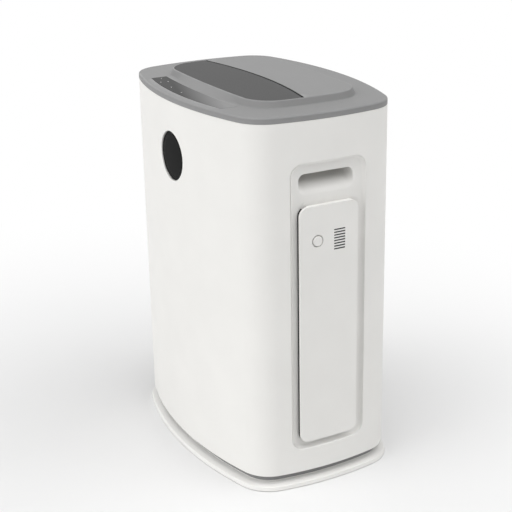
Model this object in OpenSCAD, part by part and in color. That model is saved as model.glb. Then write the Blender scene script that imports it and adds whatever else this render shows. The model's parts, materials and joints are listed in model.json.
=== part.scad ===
// Home oxygen concentrator: a bowed cabinet with a raised top deck, a hinged lid and a side filter door,
// and the compressor, sieve beds, fan and electronics inside. The floor is z = 0 and the front is -Y.

/* [Cabinet] */
// Width of the white shell at the widest point of its bowed sides
body_w = 394; // [390:1:480]
// Depth of the white shell at the middle of its bowed front and back
body_d = 270; // [266:1:330]
// Height of the white shell from its lower edge to the top cover
shell_h = 500; // [480:1:620]
// How far the front and back bow outwards
front_bow = 21; // [14:0.5:26]
// How far the sides bow outwards
side_bow = 6; // [3:0.5:8]
// Radius of the upright corners
corner_r = 48; // [42:1:54]
// Thickness of the shell, rear cover and top cover
wall = 3; // [2.5:0.1:3.6]
// Plane in which the shell and the rear cover meet
seam_y = 100; // [97:0.5:102]

/* [Base] */
// Height of the rubber feet below the base plate
foot_h = 2; // [1.5:0.5:6]
// Radius of the rubber feet
foot_r = 12; // [9:0.5:15]
// Thickness of the base plate
base_t = 8; // [7:0.5:10]
// Thickness of the base plate at its rim
base_rim = 2; // [1.5:0.5:4]
// How far the base plate stands out past the shell
base_flange = 5.5; // [4:0.5:8]
// Height of the dark gap between base plate and shell
shadow_gap = 11; // [8:0.5:15]
// How far the plinth in that gap is set back
plinth_inset = 8; // [6:0.5:9]

/* [Top cover] */
// Height of the grey rim
rim_h = 8.5; // [7:0.5:11]
// Height of the raised deck above the rim
deck_rise = 9; // [8:0.5:11]
// Width of the raised deck
deck_w = 294; // [270:1:300]
// Depth of the raised deck
deck_d = 166; // [156:1:172]
// How far the sloped foot of the deck spreads
deck_flare = 6; // [4:0.5:8]
// How far the sloped apron reaches in front of the deck
deck_apron = 13.3; // [10:0.1:13.5]
// Thickness of the hinged lid
lid_t = 4.5; // [4:0.1:5]
// Gap between the lid and the fixed half of the deck
lid_gap = 1.2; // [1:0.1:1.6]
// Width of the touch strip
strip_w = 222; // [180:1:230]
// Depth of the touch strip at its ends
strip_d = 23; // [18:0.5:25]

/* [Front window] */
// Diameter of the round window
window_d = 69; // [55:1:80]
// Distance of its centre below the top cover
window_drop = 77; // [65:1:95]

/* [Sides] */
// Depth of the side recesses
recess_depth = 8.5; // [8:0.1:10]
// Width of the side recesses
recess_w = 115; // [108:1:120]
// Height of the finger slot, with its rounded lower lip
grip_h = 29; // [26:0.5:32]
// Radius of that lip
grip_lip = 12; // [8:0.5:13]
// Length of the finger slot
grip_w = 82; // [76:1:90]
// Width of the filter door
door_w = 89; // [86:1:94]
// Thickness of the filter door's face
door_t = 4; // [3.6:0.1:4.4]
// Radius of the door's corners
door_r = 13; // [8:0.5:16]
// Diameter of the round release button
button_d = 14.8; // [12:0.2:16]
// Travel of the release button
button_travel = 2.5; // [1.5:0.1:2.6]
// Number of slots in the door's grille
grille_slots = 8; // [4:1:10]
// Depth of the filter compartment behind the door
filter_depth = 35; // [30:1:38]

/* [Inner parts] */
// Height of the compressor space under the inner shelf
compressor_space = 212; // [205:1:230]
// Radius of the compressor housing
compressor_r = 50; // [46:1:52]
// Side of the square cooling fan
fan_side = 120; // [112:1:122]
// Radius of the two sieve beds
bed_r = 32; // [26:0.5:33]
// Height of the two sieve beds
bed_h = 188; // [150:1:200]
// Radius of the product tank
tank_r = 28; // [22:0.5:29]
// Radius of the humidifier bottle
bottle_r = 23.5; // [20:0.5:23.5]
// Radius of the oxygen outlet nozzle
nozzle_r = 3.1; // [2.5:0.1:4]

/* [Hidden] */
$fn = 48;

// Colours
white_abs = "#ecebe7";
grey_abs = "#9c9c9c";
dark_abs = "#6a6a6a";
black_gloss = "#2c2c2b";
steel = "#b9bcc0";
board_green = "#2f5d43";

// Clearances
slip = 0.3;
bore_slip = 0.06;
press_slip = 0.02;
cut = 1;

// Heights
z_base0 = foot_h;
z_base1 = z_base0 + base_t;
z_shell0 = z_base1 + shadow_gap;
z_shell1 = z_shell0 + shell_h;
z_rim = z_shell1 + rim_h;
z_top = z_rim + deck_rise;

// Plan of the cabinet
a = body_w / 2;
b = body_d / 2;
core_x = a - side_bow - corner_r;
core_y = b - front_bow - corner_r;
front_r = (core_x * core_x + front_bow * front_bow) / (2 * front_bow) + corner_r;
front_cy = front_r - b;
flange_w = 14;
lip_w = 2;
lip_h = 8;
foot_x = core_x;
foot_y = core_y + 9;
base_screw_x = 100;

// Plan of the raised deck
deck_y = 4;
deck_r = 42;
deck_side_bow = 1.5;
deck_front_bow = 3;
deck_core_y = deck_d / 2 - deck_front_bow - deck_r;
deck_side_r = (deck_core_y * deck_core_y + deck_side_bow * deck_side_bow) / (2 * deck_side_bow) + deck_r;
seam_mid = 8.5;
seam_bow = 15.7;
seam_half = deck_w / 2 - 2;
seam_r = (seam_half * seam_half + seam_bow * seam_bow) / (2 * seam_bow);
seam_cy = seam_mid - seam_r;
lid_edge = 2;
rebate_edge = 1.6;
ledge_w = 7;
apron_r = 450;
apron_cy = deck_y - deck_d / 2 - deck_apron + apron_r;
apron_in = deck_apron + 1.5;
ledge_t = 3.5;
z_lid0 = z_top - lid_t;
z_ledge1 = z_lid0 - slip;
z_ledge0 = z_ledge1 - ledge_t;

// Lid hinge
lid_pin_r = 1.2;
lid_axis_y = seam_mid - seam_bow - 4;
lid_axis_z = z_lid0 + 2.2;
lid_pin_in = 7;
lid_pin_out = -0.4;
lid_end_x = deck_w / 2 - deck_side_r + sqrt(pow(deck_side_r, 2) - pow(lid_axis_y - deck_y, 2));
lid_pin_x = lid_end_x - lid_edge - lid_pin_in;

// Touch strip
strip_inset = 12;
strip_t = 2;
strip_proud = 0.2;
strip_rear_bow = 5;
board_t = 1.6;
strip_board_y = -b + strip_inset + 22;
z_strip_board = z_rim - wall - 4;

// Front window
window_z = z_shell1 - window_drop;
window_lip = 3.5;
window_inset = 2.6;
window_y = -b + window_inset;
window_seat_y = -front_cy_at(window_d / 2 + window_lip) + wall + slip;

// Side recesses, grips and door
recess_x = a - recess_depth;
recess_in_x = recess_x - wall;
recess_z0 = z_shell0 + 39;
recess_z1 = z_shell1 - 56;
recess_r = 18;
grip_z1 = recess_z1 - 16;
grip_z0 = grip_z1 - grip_h;
grip_deep = 32;
grip_x0 = recess_in_x - grip_deep;
grip_hook = 19;
lip_x = recess_x - grip_lip;
lip_z = grip_z0 + grip_lip;
cup_wall = 2.5;
door_z0 = recess_z0 + 6;
door_z1 = grip_z0 - 13;
door_h = door_z1 - door_z0;
door_zc = (door_z0 + door_z1) / 2;
door_in_x = a - door_t;
tray_w = door_w - 23;
tray_h = door_h - 30;
tray_wall = 2.4;
tray_in_x = recess_x - 4.5;
mouth_w = tray_w + 6;
mouth_h = tray_h + 8;
mouth_r = 6;

// Door hinge
hinge_r = 2.6;
hinge_pin_r = 1.25;
hinge_x = recess_x + hinge_r + slip;
hinge_y = door_w / 2 - 2.5;
hinge_len = 8;
hinge_z = [door_z0 + 40, door_z1 - 60];

// Release button
button_y = -17.4;
button_z = door_z1 - 49;
boss_in_r = button_d / 2 + 2.8;
boss_x0 = tray_in_x - 0.5;
boss_floor = 1.5;
collar_x1 = door_in_x - slip;
collar_t = 1.5;
button_proud = 0.6;
spring_r = 5.6;
spring_wire = 0.3;
spring_turns = 4;

// Grille
slot_y = 16;
slot_z = door_z1 - 51;
slot_w = 17.4;
slot_h = 1.7;
slot_pitch = 3.84;
screen_t = 1.2;

// Filter compartment
bay_wall = 2.5;
bay_x0 = recess_in_x - filter_depth;
spigot_y = -20;
spigot_z = recess_z0 + 88;
spigot_r = 10;
spigot_len = 14;
frame_t = 20;
frame_bar = 5;
magnet_t = 3;
magnet_w = 6;
magnet_h = 24;

// Rear cover
post_r = 5.5;
post_x = core_x + 9;
rear_screw_z = [z_shell0 + 60, (z_shell0 + z_shell1) / 2, z_shell1 - 60];
seam_flange_y = seam_y - wall;
seam_flange_w = 12;
service_w = 150;
service_h = 52;
service_r = 8;
service_z = z_shell0 + 50;
service_y = b - 11;
vent_slots = 9;
vent_pitch = 9;
vent_z = service_z + 55;

// Inner shelf and what stands on it
shelf_t = 3;
shelf_z0 = z_base1 + compressor_space;
shelf_z1 = shelf_z0 + shelf_t;
shelf_x = bay_x0 - 3;
deck_post_x = shelf_x - 17;
deck_post_y = core_y + 4;
fan_t = 25;
fan_r = fan_side / 2 - 3;
fan_hole = fan_side / 2 - 7.5;
hub_r = 19;
cap_r = bed_r + 3;
cap_t = 12;
bed_x = fan_side / 2 + cap_r;
bed_y = 10 + cap_r;
bed_z0 = shelf_z1 + cap_t;
bed_z1 = bed_z0 + bed_h;
valve_z0 = bed_z1 + cap_t;
valve_t = 28;
valve_d = 36;
coil_r = 10;
coil_h = 26;
tank_y = fan_side / 2 + 2 + tank_r;
tank_h = 195;
regulator_r = 11;
regulator_h = 30;
bracket_x = -shelf_x + 1;
bracket_foot_x = -bed_x - cap_r - 1;

// Compressor
comp_z = z_base1 + 95;
comp_half = 72;
comp_wall = 6;
comp_foot_z = z_base1 + 38;
comp_mount_x = 56;
comp_mount_y = 50;
shaft_r = 5;
stator_half = 28;
rotor_core_r = 27.4;

// Humidifier bay under the lid
tray_drop = 20;
tub_wall = 2;
well_x = 92;
bottle_room = 1.5;
well_y1 = 2;
well_y0 = well_y1 - 2 * (bottle_r + bottle_room);
well_depth = 170;
tray_z0 = z_ledge0 - tray_drop;
well_z0 = tray_z0 - well_depth;
bottle_x = -50;
bottle_y = (well_y0 + well_y1) / 2;
bottle_h = 140;
bottle_z0 = well_z0 + tub_wall;
neck_h = 12;
neck_r = bottle_r - 6;
bottle_cap_z0 = bottle_z0 + bottle_h + 2;
nozzle_len = 14;

// Power inlet, rocker and service recess
inlet_x = -42;
inlet_w = 50;
inlet_h = 28;
inlet_body_w = 28;
inlet_body_h = 20;
rocker_x = 20;
rocker_w = 20;
rocker_l = 28;
rocker_wall = 2;
rocker_tilt = 7;
rocker_pin_r = 1.5;
rocker_pin_out = 1.2;
rocker_y = service_y - 4;

// Routes of the two inner hoses, from face to face
hose_r = 9;
hose_end = [bay_x0 - spigot_len, spigot_y, spigot_z];
silencer_x = bay_x0 - 32;
silencer_y = spigot_y - 22;
silencer_r = 22;
silencer_h = 102;
silencer_top = z_base1 + silencer_h + 8;
hose_route = [
  hose_end, hose_end + [-9, -1, 0], [silencer_x + 3, silencer_y + 17, spigot_z - 3],
  [silencer_x, silencer_y + 4, spigot_z - 11], [silencer_x, silencer_y, silencer_top + 8],
  [silencer_x, silencer_y, silencer_top]
];
feed_r = 4;
feed_z0 = shelf_z1 + tank_h + regulator_h;
feed_top = valve_z0 + valve_t + 20;
feed_z1 = min(tray_z0 - 30, feed_top);
feed_route = [
  [0, tank_y, feed_z0], [0, tank_y, feed_z0 + 12], [0, tank_y - 8, feed_top - 4],
  [0, tank_y - 26, feed_top], [0, bed_y, feed_top], [0, well_y1 + 22, feed_top - 3],
  [0, well_y1 + tub_wall + 9, feed_z1], [0, well_y1 + tub_wall, feed_z1]
];

// Distance from the middle to the bowed front at a given x
function front_cy_at(x) = sqrt(front_r * front_r - x * x) - front_cy;

// Points on an arc, without its last point
function arc(c, r, a0, a1, n) =
  [for (i = [0 : n - 1]) c + r * [cos(a0 + (a1 - a0) * i / n), sin(a0 + (a1 - a0) * i / n)]];

// Points on an arc, with its last point
function full_arc(c, r, a0, a1, n) =
  [for (i = [0 : n]) c + r * [cos(a0 + (a1 - a0) * i / n), sin(a0 + (a1 - a0) * i / n)]];

// Outline with bowed sides and round corners, moved outwards by d
function bowed(hw, hd, sb, fb, r, d) = let (
    cx = hw - sb - r,
    cy = hd - fb - r,
    rf = (cx * cx + fb * fb) / (2 * fb),
    rs = (cy * cy + sb * sb) / (2 * sb),
    tf = asin(cx / rf),
    ts = asin(cy / rs),
    q = r + d
  ) concat(
    arc([cx + sb - rs, 0], rs + q, -ts, ts, 6),
    arc([cx, cy], q, ts, 90 - tf, 10),
    arc([0, cy + fb - rf], rf + q, 90 - tf, 90 + tf, 12),
    arc([-cx, cy], q, 90 + tf, 180 - ts, 10),
    arc([rs - sb - cx, 0], rs + q, 180 - ts, 180 + ts, 6),
    arc([-cx, -cy], q, 180 + ts, 270 - tf, 10),
    arc([0, rf - fb - cy], rf + q, 270 - tf, 270 + tf, 12),
    arc([cx, -cy], q, 270 + tf, 360 - ts, 10)
  );
function cabinet_outline(d) = bowed(a, b, side_bow, front_bow, corner_r, d);
function deck_outline(d) = bowed(deck_w / 2, deck_d / 2, deck_side_bow, deck_front_bow, deck_r, d);

// Rectangle with round corners
function round_rect(w, h, r, n = 6) = concat(
  full_arc([w / 2 - r, h / 2 - r], r, 0, 90, n), full_arc([r - w / 2, h / 2 - r], r, 90, 180, n),
  full_arc([r - w / 2, r - h / 2], r, 180, 270, n), full_arc([w / 2 - r, r - h / 2], r, 270, 360, n)
);

// Outline of the touch strip between two arcs, widened by d
function strip_outline(d) = let (
    hw = strip_w / 2 + d,
    r0 = front_r - strip_inset + d,
    t0 = asin(hw / r0),
    y1 = front_cy - sqrt(r0 * r0 - hw * hw) + strip_d + 2 * d,
    r1 = (hw * hw + strip_rear_bow * strip_rear_bow) / (2 * strip_rear_bow),
    t1 = asin(hw / r1)
  ) concat(
    full_arc([0, front_cy], r0, 270 - t0, 270 + t0, 16),
    full_arc([0, y1 - strip_rear_bow + r1], r1, 270 + t1, 270 - t1, 16)
  );

// Smooth path through the given points, n steps to each stretch
function spline_point(p, i, t) = let (
    p0 = p[max(i - 1, 0)],
    p1 = p[i],
    p2 = p[i + 1],
    p3 = p[min(i + 2, len(p) - 1)]
  ) 0.5 * (2 * p1 + (p2 - p0) * t + (2 * p0 - 5 * p1 + 4 * p2 - p3) * t * t
    + (3 * p1 - p0 - 3 * p2 + p3) * t * t * t);
function spline(p, n) = concat(
  [for (i = [0 : len(p) - 2]) for (k = [0 : n - 1]) spline_point(p, i, k / n)], [p[len(p) - 1]]
);
function unit(v) = v / norm(v);

// Ring of points round a path point; the end rings lie square to ends_t
function tube_ring(path, i, r, sides, side_dir, ends) = let (
    t = i == 0 ? ends[0] : i == len(path) - 1 ? ends[1] : unit(path[i + 1] - path[i - 1]),
    u = unit(side_dir - (side_dir * t) * t),
    v = cross(t, u)
  ) [for (k = [0 : sides - 1]) path[i] + r * (cos(360 * k / sides) * u + sin(360 * k / sides) * v)];

// Round tube along a path
module tube(path, r, sides, side_dir, ends) {
  m = len(path);
  points = [for (i = [0 : m - 1]) each tube_ring(path, i, r, sides, side_dir, ends)];
  walls = [for (i = [0 : m - 2]) for (k = [0 : sides - 1]) let (j = (k + 1) % sides)
    each [
      [i * sides + k, (i + 1) * sides + k, (i + 1) * sides + j],
      [i * sides + k, (i + 1) * sides + j, i * sides + j]
    ]];
  first = [for (k = [1 : sides - 2]) [0, k, k + 1]];
  last = [for (k = [1 : sides - 2]) [(m - 1) * sides, (m - 1) * sides + k + 1, (m - 1) * sides + k]];
  polyhedron(points, concat(first, walls, last));
}

module block(lo, hi) {
  translate(lo) cube(hi - lo);
}

module rod_x(x0, x1, y, z, r) {
  translate([x0, y, z]) rotate([0, 90, 0]) cylinder(h = x1 - x0, r = r);
}

module rod_y(x, y0, y1, z, r) {
  translate([x, y1, z]) rotate([90, 0, 0]) cylinder(h = y1 - y0, r = r);
}

module rod_z(x, y, z0, z1, r) {
  translate([x, y, z0]) cylinder(h = z1 - z0, r = r);
}

// Plate with the cabinet's outline
module plate(d, z0, z1) {
  translate([0, 0, z0]) linear_extrude(z1 - z0) polygon(cabinet_outline(d));
}

module ring(d0, d1, z0, z1) {
  difference() {
    plate(d0, z0, z1);
    plate(d1, z0 - cut, z1 + cut);
  }
}

// Plate with round corners that faces along X
module slab_x(x0, x1, y, z, w, h, r) {
  translate([x0, y, z]) rotate([90, 0, 90]) linear_extrude(x1 - x0) polygon(round_rect(w, h, r));
}

// Plate with round corners that faces along Y
module slab_y(x, y0, y1, z, w, h, r) {
  translate([x, y1, z]) rotate([90, 0, 0]) linear_extrude(y1 - y0) polygon(round_rect(w, h, r));
}

// Front part of the raised deck, up to the curved seam
module lens(d, gap, z0, z1) {
  translate([0, 0, z0]) linear_extrude(z1 - z0) intersection() {
    translate([0, deck_y]) polygon(deck_outline(d));
    translate([0, seam_cy]) circle(r = seam_r - gap, $fn = 360);
  }
}

// Rear part of the raised deck, behind the curved seam
module rear_deck(d, gap, z0, z1) {
  translate([0, 0, z0]) linear_extrude(z1 - z0) difference() {
    translate([0, deck_y]) polygon(deck_outline(d));
    translate([0, seam_cy]) circle(r = seam_r + gap, $fn = 360);
  }
}

module both_sides() {
  children();
  mirror([1, 0, 0]) children();
}

module at_base_screws() {
  for (x = [-base_screw_x, base_screw_x], s = [-1, 1])
    translate([x, s * (front_cy_at(x) - (plinth_inset + flange_w) / 2), 0]) children();
}

module at_rear_screws() {
  for (x = [-post_x, post_x], z = rear_screw_z) translate([x, 0, z]) children();
}

module at_feet() {
  for (x = [-foot_x, foot_x], y = [-foot_y, foot_y]) translate([x, y, 0]) children();
}

module base_plate() {
  color(white_abs) difference() {
    union() {
      hull() {
        plate(base_flange, z_base0, z_base0 + base_rim);
        plate(-plinth_inset, z_base0, z_base1);
      }
      ring(-plinth_inset, -flange_w - slip - lip_w, z_base1 - cut, z_shell0);
      ring(-flange_w - slip, -flange_w - slip - lip_w, z_shell0 - cut, z_shell0 + lip_h);
    }
    at_feet() rod_z(0, 0, z_base0 - cut, z_base0 + 1, foot_r + slip);
    at_base_screws() rod_z(0, 0, z_base0 - cut, z_shell0 + cut, 2.2);
    at_base_screws() rod_z(0, 0, z_base0 - cut, z_base0 + 4, 4.5);
  }
}

module rubber_feet() {
  color("#3a3a3a") at_feet() rod_z(0, 0, 0, z_base0 + 1, foot_r);
}

// Walls of the cabinet before they are divided at the seam plane
module cabinet_walls() {
  ring(0, -wall, z_shell0, z_shell1);
  ring(0, -flange_w, z_shell0, z_shell0 + wall);
}

module recess_block(x0, grow) {
  slab_x(x0, a + cut, 0, (recess_z0 + recess_z1) / 2, recess_w + 2 * grow,
    recess_z1 - recess_z0 + 2 * grow, recess_r + grow);
}

// Hollow of a finger grip, from the rounded lower lip to the hook behind the upper lip
module grip_hollow() {
  translate([0, grip_w / 2, 0]) rotate([90, 0, 0]) linear_extrude(grip_w) polygon(concat(
    [[recess_x + 2 * cut, grip_z0]],
    full_arc([lip_x, grip_z0], grip_lip, 0, 90, 9),
    [for (t = [10 : 10 : 90]) [lip_x - (lip_x - grip_x0) * sin(t), lip_z + (grip_z1 - lip_z) * (1 - cos(t))]],
    [[grip_x0, grip_z1 + grip_hook], [recess_x + 2 * cut, grip_z1 + grip_hook]]
  ));
}

module grip_slot() {
  intersection() {
    slab_x(recess_in_x - cut, recess_x + cut, 0, (grip_z0 + grip_z1) / 2, grip_w, grip_h, 9);
    grip_hollow();
  }
}

module front_shell() {
  color(white_abs) difference() {
    union() {
      intersection() {
        cabinet_walls();
        block([-a - cut, -b - cut, 0], [a + cut, seam_y, z_top]);
      }
      intersection() {
        plate(-1, z_shell0 + lip_h + slip, z_shell1 - lip_h - 4);
        both_sides() block([post_x - seam_flange_w, seam_flange_y - wall, 0], [a, seam_flange_y, z_top]);
      }
      intersection() {
        plate(0, z_shell0, z_shell1);
        both_sides() recess_block(recess_in_x, wall);
      }
    }
    both_sides() recess_block(recess_in_x - cut, 0);
    rod_y(0, -b - cut, cut - b + 2 * wall, window_z, window_d / 2 + slip);
    at_base_screws() rod_z(0, 0, z_shell0 - cut, z_shell0 + wall + cut, 2.05);
    at_rear_screws() rod_y(0, seam_flange_y - wall - cut, seam_flange_y + cut, 0, 1.65);
  }
}

// Floors bonded into the two side recesses
module recess_floors() {
  color(white_abs) difference() {
    both_sides() slab_x(recess_in_x, recess_x, 0, (recess_z0 + recess_z1) / 2, recess_w - 2 * press_slip,
      recess_z1 - recess_z0 - 2 * press_slip, recess_r - press_slip);
    both_sides() grip_slot();
    slab_x(recess_in_x - cut, recess_x + cut, 0, door_zc, mouth_w, mouth_h, mouth_r);
    for (i = [0 : 11])
      slab_x(-recess_x - cut, cut - recess_in_x, 0, door_z0 + 40 + 22 * i, 60, 10, 4);
  }
}

module rear_cover() {
  color(white_abs) difference() {
    union() {
      intersection() {
        cabinet_walls();
        block([-a - cut, seam_y + slip, 0], [a + cut, b + cut, z_top]);
      }
      intersection() {
        plate(-0.5, z_shell0, z_shell1);
        at_rear_screws() rod_y(0, seam_flange_y, b, 0, post_r);
      }
      intersection() {
        plate(0, z_shell0, z_shell1);
        slab_y(0, service_y - wall, b + cut, service_z,
          service_w + 2 * wall, service_h + 2 * wall, service_r + wall);
      }
    }
    slab_y(0, service_y, b + cut, service_z, service_w, service_h, service_r);
    at_rear_screws() rod_y(0, seam_flange_y - cut, b, 0, 1.8);
    at_rear_screws() rod_y(0, seam_y + 4, b, 0, 4);
    at_base_screws() rod_z(0, 0, z_shell0 - cut, z_shell0 + wall + cut, 2.05);
    slab_y(inlet_x, service_y - wall - cut, service_y + cut, service_z,
      inlet_body_w + 2 * slip, inlet_body_h + 2 * slip, 2);
    slab_y(rocker_x, service_y - wall - cut, service_y + cut, service_z,
      rocker_w + 2 * (rocker_wall + slip), rocker_l + 2 * (rocker_wall + slip), 2);
    for (i = [0 : vent_slots - 1])
      slab_y(0, seam_y, b + cut, vent_z + vent_pitch * i, 140, 4, 1.9);
  }
}

module top_cover() {
  color(grey_abs) difference() {
    union() {
      hull() {
        plate(0, z_shell1, z_rim - 2.5);
        plate(-2.5, z_shell1, z_rim);
      }
      hull() {
        translate([0, deck_y, z_rim - cut]) linear_extrude(cut) polygon(deck_outline(deck_flare));
        translate([0, deck_y, z_rim]) linear_extrude(deck_rise) polygon(deck_outline(0));
      }
      intersection() {
        translate([0, apron_cy, z_rim - cut]) cylinder(deck_rise + cut,
          apron_r + cut * apron_in / deck_rise, apron_r - apron_in, $fn = 360);
        block([-deck_w / 2, deck_y - deck_d / 2 - 2 * deck_apron, z_rim - cut],
          [deck_w / 2, deck_y - deck_d / 2 + deck_apron, z_top]);
      }
      ring(-wall - slip, -wall - slip - lip_w - 1, z_shell1 - lip_h, z_shell1 + cut);
    }
    difference() {
      plate(-wall - slip - lip_w, z_shell1 - 10, z_rim - wall);
      for (x = [-strip_w / 2 + 25, strip_w / 2 - 25]) rod_z(x, strip_board_y, z_strip_board, z_rim, 4);
    }
    lens(-wall, -wall, z_shell1, z_ledge0);
    rear_deck(-wall, wall, z_shell1, z_top - wall);
    lens(-rebate_edge, 0, z_ledge1, z_top + cut);
    lens(-ledge_w, 0, z_shell1, z_top);
    intersection() {
      lens(-rebate_edge, 0, z_ledge0 + 1, z_top);
      block([-a, lid_axis_y - 4, 0], [a, b, z_top]);
    }
    both_sides()
      rod_x(0, lid_end_x + lid_pin_out + slip, lid_axis_y, lid_axis_z, lid_pin_r + bore_slip);
    translate([0, 0, z_rim - strip_t]) linear_extrude(strip_t + cut) polygon(strip_outline(slip));
  }
}

module control_panel() {
  color(black_gloss) translate([0, 0, z_rim - strip_t]) linear_extrude(strip_t + strip_proud)
    polygon(strip_outline(0));
}

module control_board() {
  color(board_green) block(
    [-strip_w / 2 + 15, strip_board_y - 8, z_strip_board - board_t],
    [strip_w / 2 - 15, strip_board_y + 8, z_strip_board]
  );
}

module top_lid() {
  color(dark_abs) difference() {
    lens(-lid_edge, lid_gap, z_lid0, z_top);
    both_sides() rod_x(lid_pin_x, a, lid_axis_y, lid_axis_z, lid_pin_r + press_slip);
  }
}

module lid_hinge_pins() {
  color(steel) both_sides()
    rod_x(lid_pin_x + slip, lid_end_x + lid_pin_out, lid_axis_y, lid_axis_z, lid_pin_r);
}

// Wall round the tray, between the ledge and the tray's floor
module tray_wall() {
  color(grey_abs) difference() {
    lens(-ledge_w + tub_wall, -tub_wall, tray_z0, z_ledge0);
    lens(-ledge_w, 0, tray_z0 - cut, z_ledge0 + cut);
  }
}

module bay_tub() {
  color(grey_abs) difference() {
    union() {
      lens(-ledge_w - 2 * bore_slip, 2 * bore_slip, tray_z0, tray_z0 + tub_wall);
      block([-well_x - tub_wall, well_y0 - tub_wall, well_z0],
        [well_x + tub_wall, well_y1 + tub_wall, tray_z0]);
    }
    block([-well_x, well_y0, well_z0 + tub_wall], [well_x, well_y1, z_ledge0]);
  }
}

module humidifier_bottle() {
  color("#dfe8ea", 0.5) translate([bottle_x, bottle_y, bottle_z0]) rotate_extrude() polygon([
    [0, 0], [bottle_r, 0], [bottle_r, bottle_h - 14], [neck_r, bottle_h - 6],
    [neck_r, bottle_h + neck_h], [neck_r - 2, bottle_h + neck_h], [neck_r - 2, bottle_h - 7],
    [bottle_r - 2, bottle_h - 15], [bottle_r - 2, 2], [0, 2]
  ]);
}

module bottle_cap() {
  color(white_abs) difference() {
    rod_z(bottle_x, bottle_y, bottle_cap_z0, bottle_cap_z0 + neck_h + 3, neck_r + 4);
    rod_z(bottle_x, bottle_y, bottle_cap_z0 - cut, bottle_z0 + bottle_h + neck_h + slip, neck_r + slip);
    rod_z(bottle_x, bottle_y, bottle_cap_z0, bottle_cap_z0 + neck_h + 4, nozzle_r + 1 + slip);
  }
}

module outlet_nozzle() {
  z0 = bottle_cap_z0 + neck_h + 3;
  color(white_abs) difference() {
    union() {
      rod_z(bottle_x, bottle_y, z0 - 4, z0, nozzle_r + 1);
      rod_z(bottle_x, bottle_y, z0, z0 + 2, 7);
      rod_z(bottle_x, bottle_y, z0 + 2, z0 + 2 + nozzle_len, nozzle_r);
    }
    rod_z(bottle_x, bottle_y, z0 - 5, z0 + 3 + nozzle_len, 1.5);
  }
}

module display_window() {
  color(black_gloss) {
    rod_y(0, window_y, window_seat_y, window_z, window_d / 2);
    rod_y(0, window_seat_y, window_seat_y + 2.5, window_z, window_d / 2 + window_lip);
    difference() {
      rod_y(0, window_seat_y, window_seat_y + 9, window_z, window_d / 2);
      rod_y(0, window_seat_y + 2.5, window_seat_y + 10, window_z, window_d / 2 - 2);
    }
  }
}

module display_board() {
  color(board_green)
    rod_y(0, window_seat_y + 6, window_seat_y + 6 + board_t, window_z, window_d / 2 - 2 - slip);
}

module door_bracket_space(grow) {
  for (z = hinge_z)
    block([door_in_x - cut, hinge_y - hinge_r - 0.8, z - grow],
      [hinge_x + hinge_r + 0.6, door_w, z + hinge_len + grow]);
}

module side_door() {
  color(white_abs) difference() {
    union() {
      slab_x(door_in_x, a, 0, door_zc, door_w, door_h, door_r);
      difference() {
        slab_x(tray_in_x, door_in_x + 0.5, 0, door_zc, tray_w, tray_h, 5);
        slab_x(tray_in_x - cut, door_in_x, 0, door_zc, tray_w - 2 * tray_wall, tray_h - 2 * tray_wall, 3);
      }
      rod_x(boss_x0, door_in_x + 0.5, button_y, button_z, boss_in_r + 2);
      block([recess_x + slip, -door_w / 2 + door_r, door_z1 - 2.6],
        [door_in_x + 0.5, hinge_y - 6, door_z1 - 0.4]);
      for (z = hinge_z) {
        rod_z(hinge_x, hinge_y, z + hinge_len + slip, z + 2 * hinge_len + slip, hinge_r);
        block([hinge_x, hinge_y - hinge_r, z + hinge_len + slip],
          [door_in_x + 0.5, hinge_y + hinge_r - 0.4, z + 2 * hinge_len + slip]);
      }
    }
    door_bracket_space(slip + 0.2);
    for (z = hinge_z) rod_z(hinge_x, hinge_y, z, z + 3 * hinge_len, hinge_pin_r + bore_slip);
    rod_x(boss_x0 + boss_floor, door_in_x, button_y, button_z, boss_in_r);
    rod_x(door_in_x - cut, a + cut, button_y, button_z, button_d / 2 + slip);
    for (i = [0 : grille_slots - 1])
      slab_x(door_in_x - cut, a + cut, slot_y, slot_z + slot_pitch * (i - (grille_slots - 1) / 2),
        slot_w, slot_h, slot_h / 2 - 0.05);
  }
}

module door_hinge_brackets() {
  color(white_abs) for (z = hinge_z) difference() {
    union() {
      rod_z(hinge_x, hinge_y, z, z + hinge_len, hinge_r);
      block([recess_x, hinge_y - hinge_r, z], [hinge_x, hinge_y + hinge_r, z + hinge_len]);
    }
    rod_z(hinge_x, hinge_y, z - cut, z + hinge_len + cut, hinge_pin_r + press_slip);
  }
}

module door_hinge_pins() {
  color(steel) for (z = hinge_z) rod_z(hinge_x, hinge_y, z, z + 2 * hinge_len + slip, hinge_pin_r);
}

module latch_button() {
  stem_x = boss_x0 + boss_floor + button_travel + 0.2;
  color(white_abs) {
    rod_x(collar_x1 - collar_t, a + button_proud, button_y, button_z, button_d / 2);
    rod_x(collar_x1 - collar_t, collar_x1, button_y, button_z, boss_in_r - slip);
    rod_x(stem_x, collar_x1, button_y, button_z, 3);
  }
}

module latch_spring() {
  x0 = boss_x0 + boss_floor + spring_wire + 0.1;
  x1 = collar_x1 - collar_t - spring_wire - 0.1;
  steps = 12 * spring_turns;
  path = [for (i = [0 : steps]) [
    x0 + (x1 - x0) * i / steps,
    button_y + spring_r * cos(30 * i),
    button_z + spring_r * sin(30 * i)
  ]];
  color(steel) tube(path, spring_wire, 6, [1, 0, 0], [[0, 0, 1], [0, 0, 1]]);
}

module intake_screen() {
  color("#4a4a4a") slab_x(door_in_x - screen_t, door_in_x, slot_y, slot_z,
    slot_w + 6, slot_pitch * grille_slots + 4, 2);
}

module door_magnet() {
  color("#505256") block(
    [tray_in_x - magnet_t, -tray_w / 2, door_zc - magnet_h / 2],
    [tray_in_x, magnet_w - tray_w / 2, door_zc + magnet_h / 2]
  );
}

module magnet_keeper() {
  color(steel) block(
    [tray_in_x - 2 * magnet_t - slip, -mouth_w / 2, door_zc - magnet_h / 2],
    [tray_in_x - magnet_t - slip, magnet_w - tray_w / 2, door_zc + magnet_h / 2]
  );
}

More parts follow.
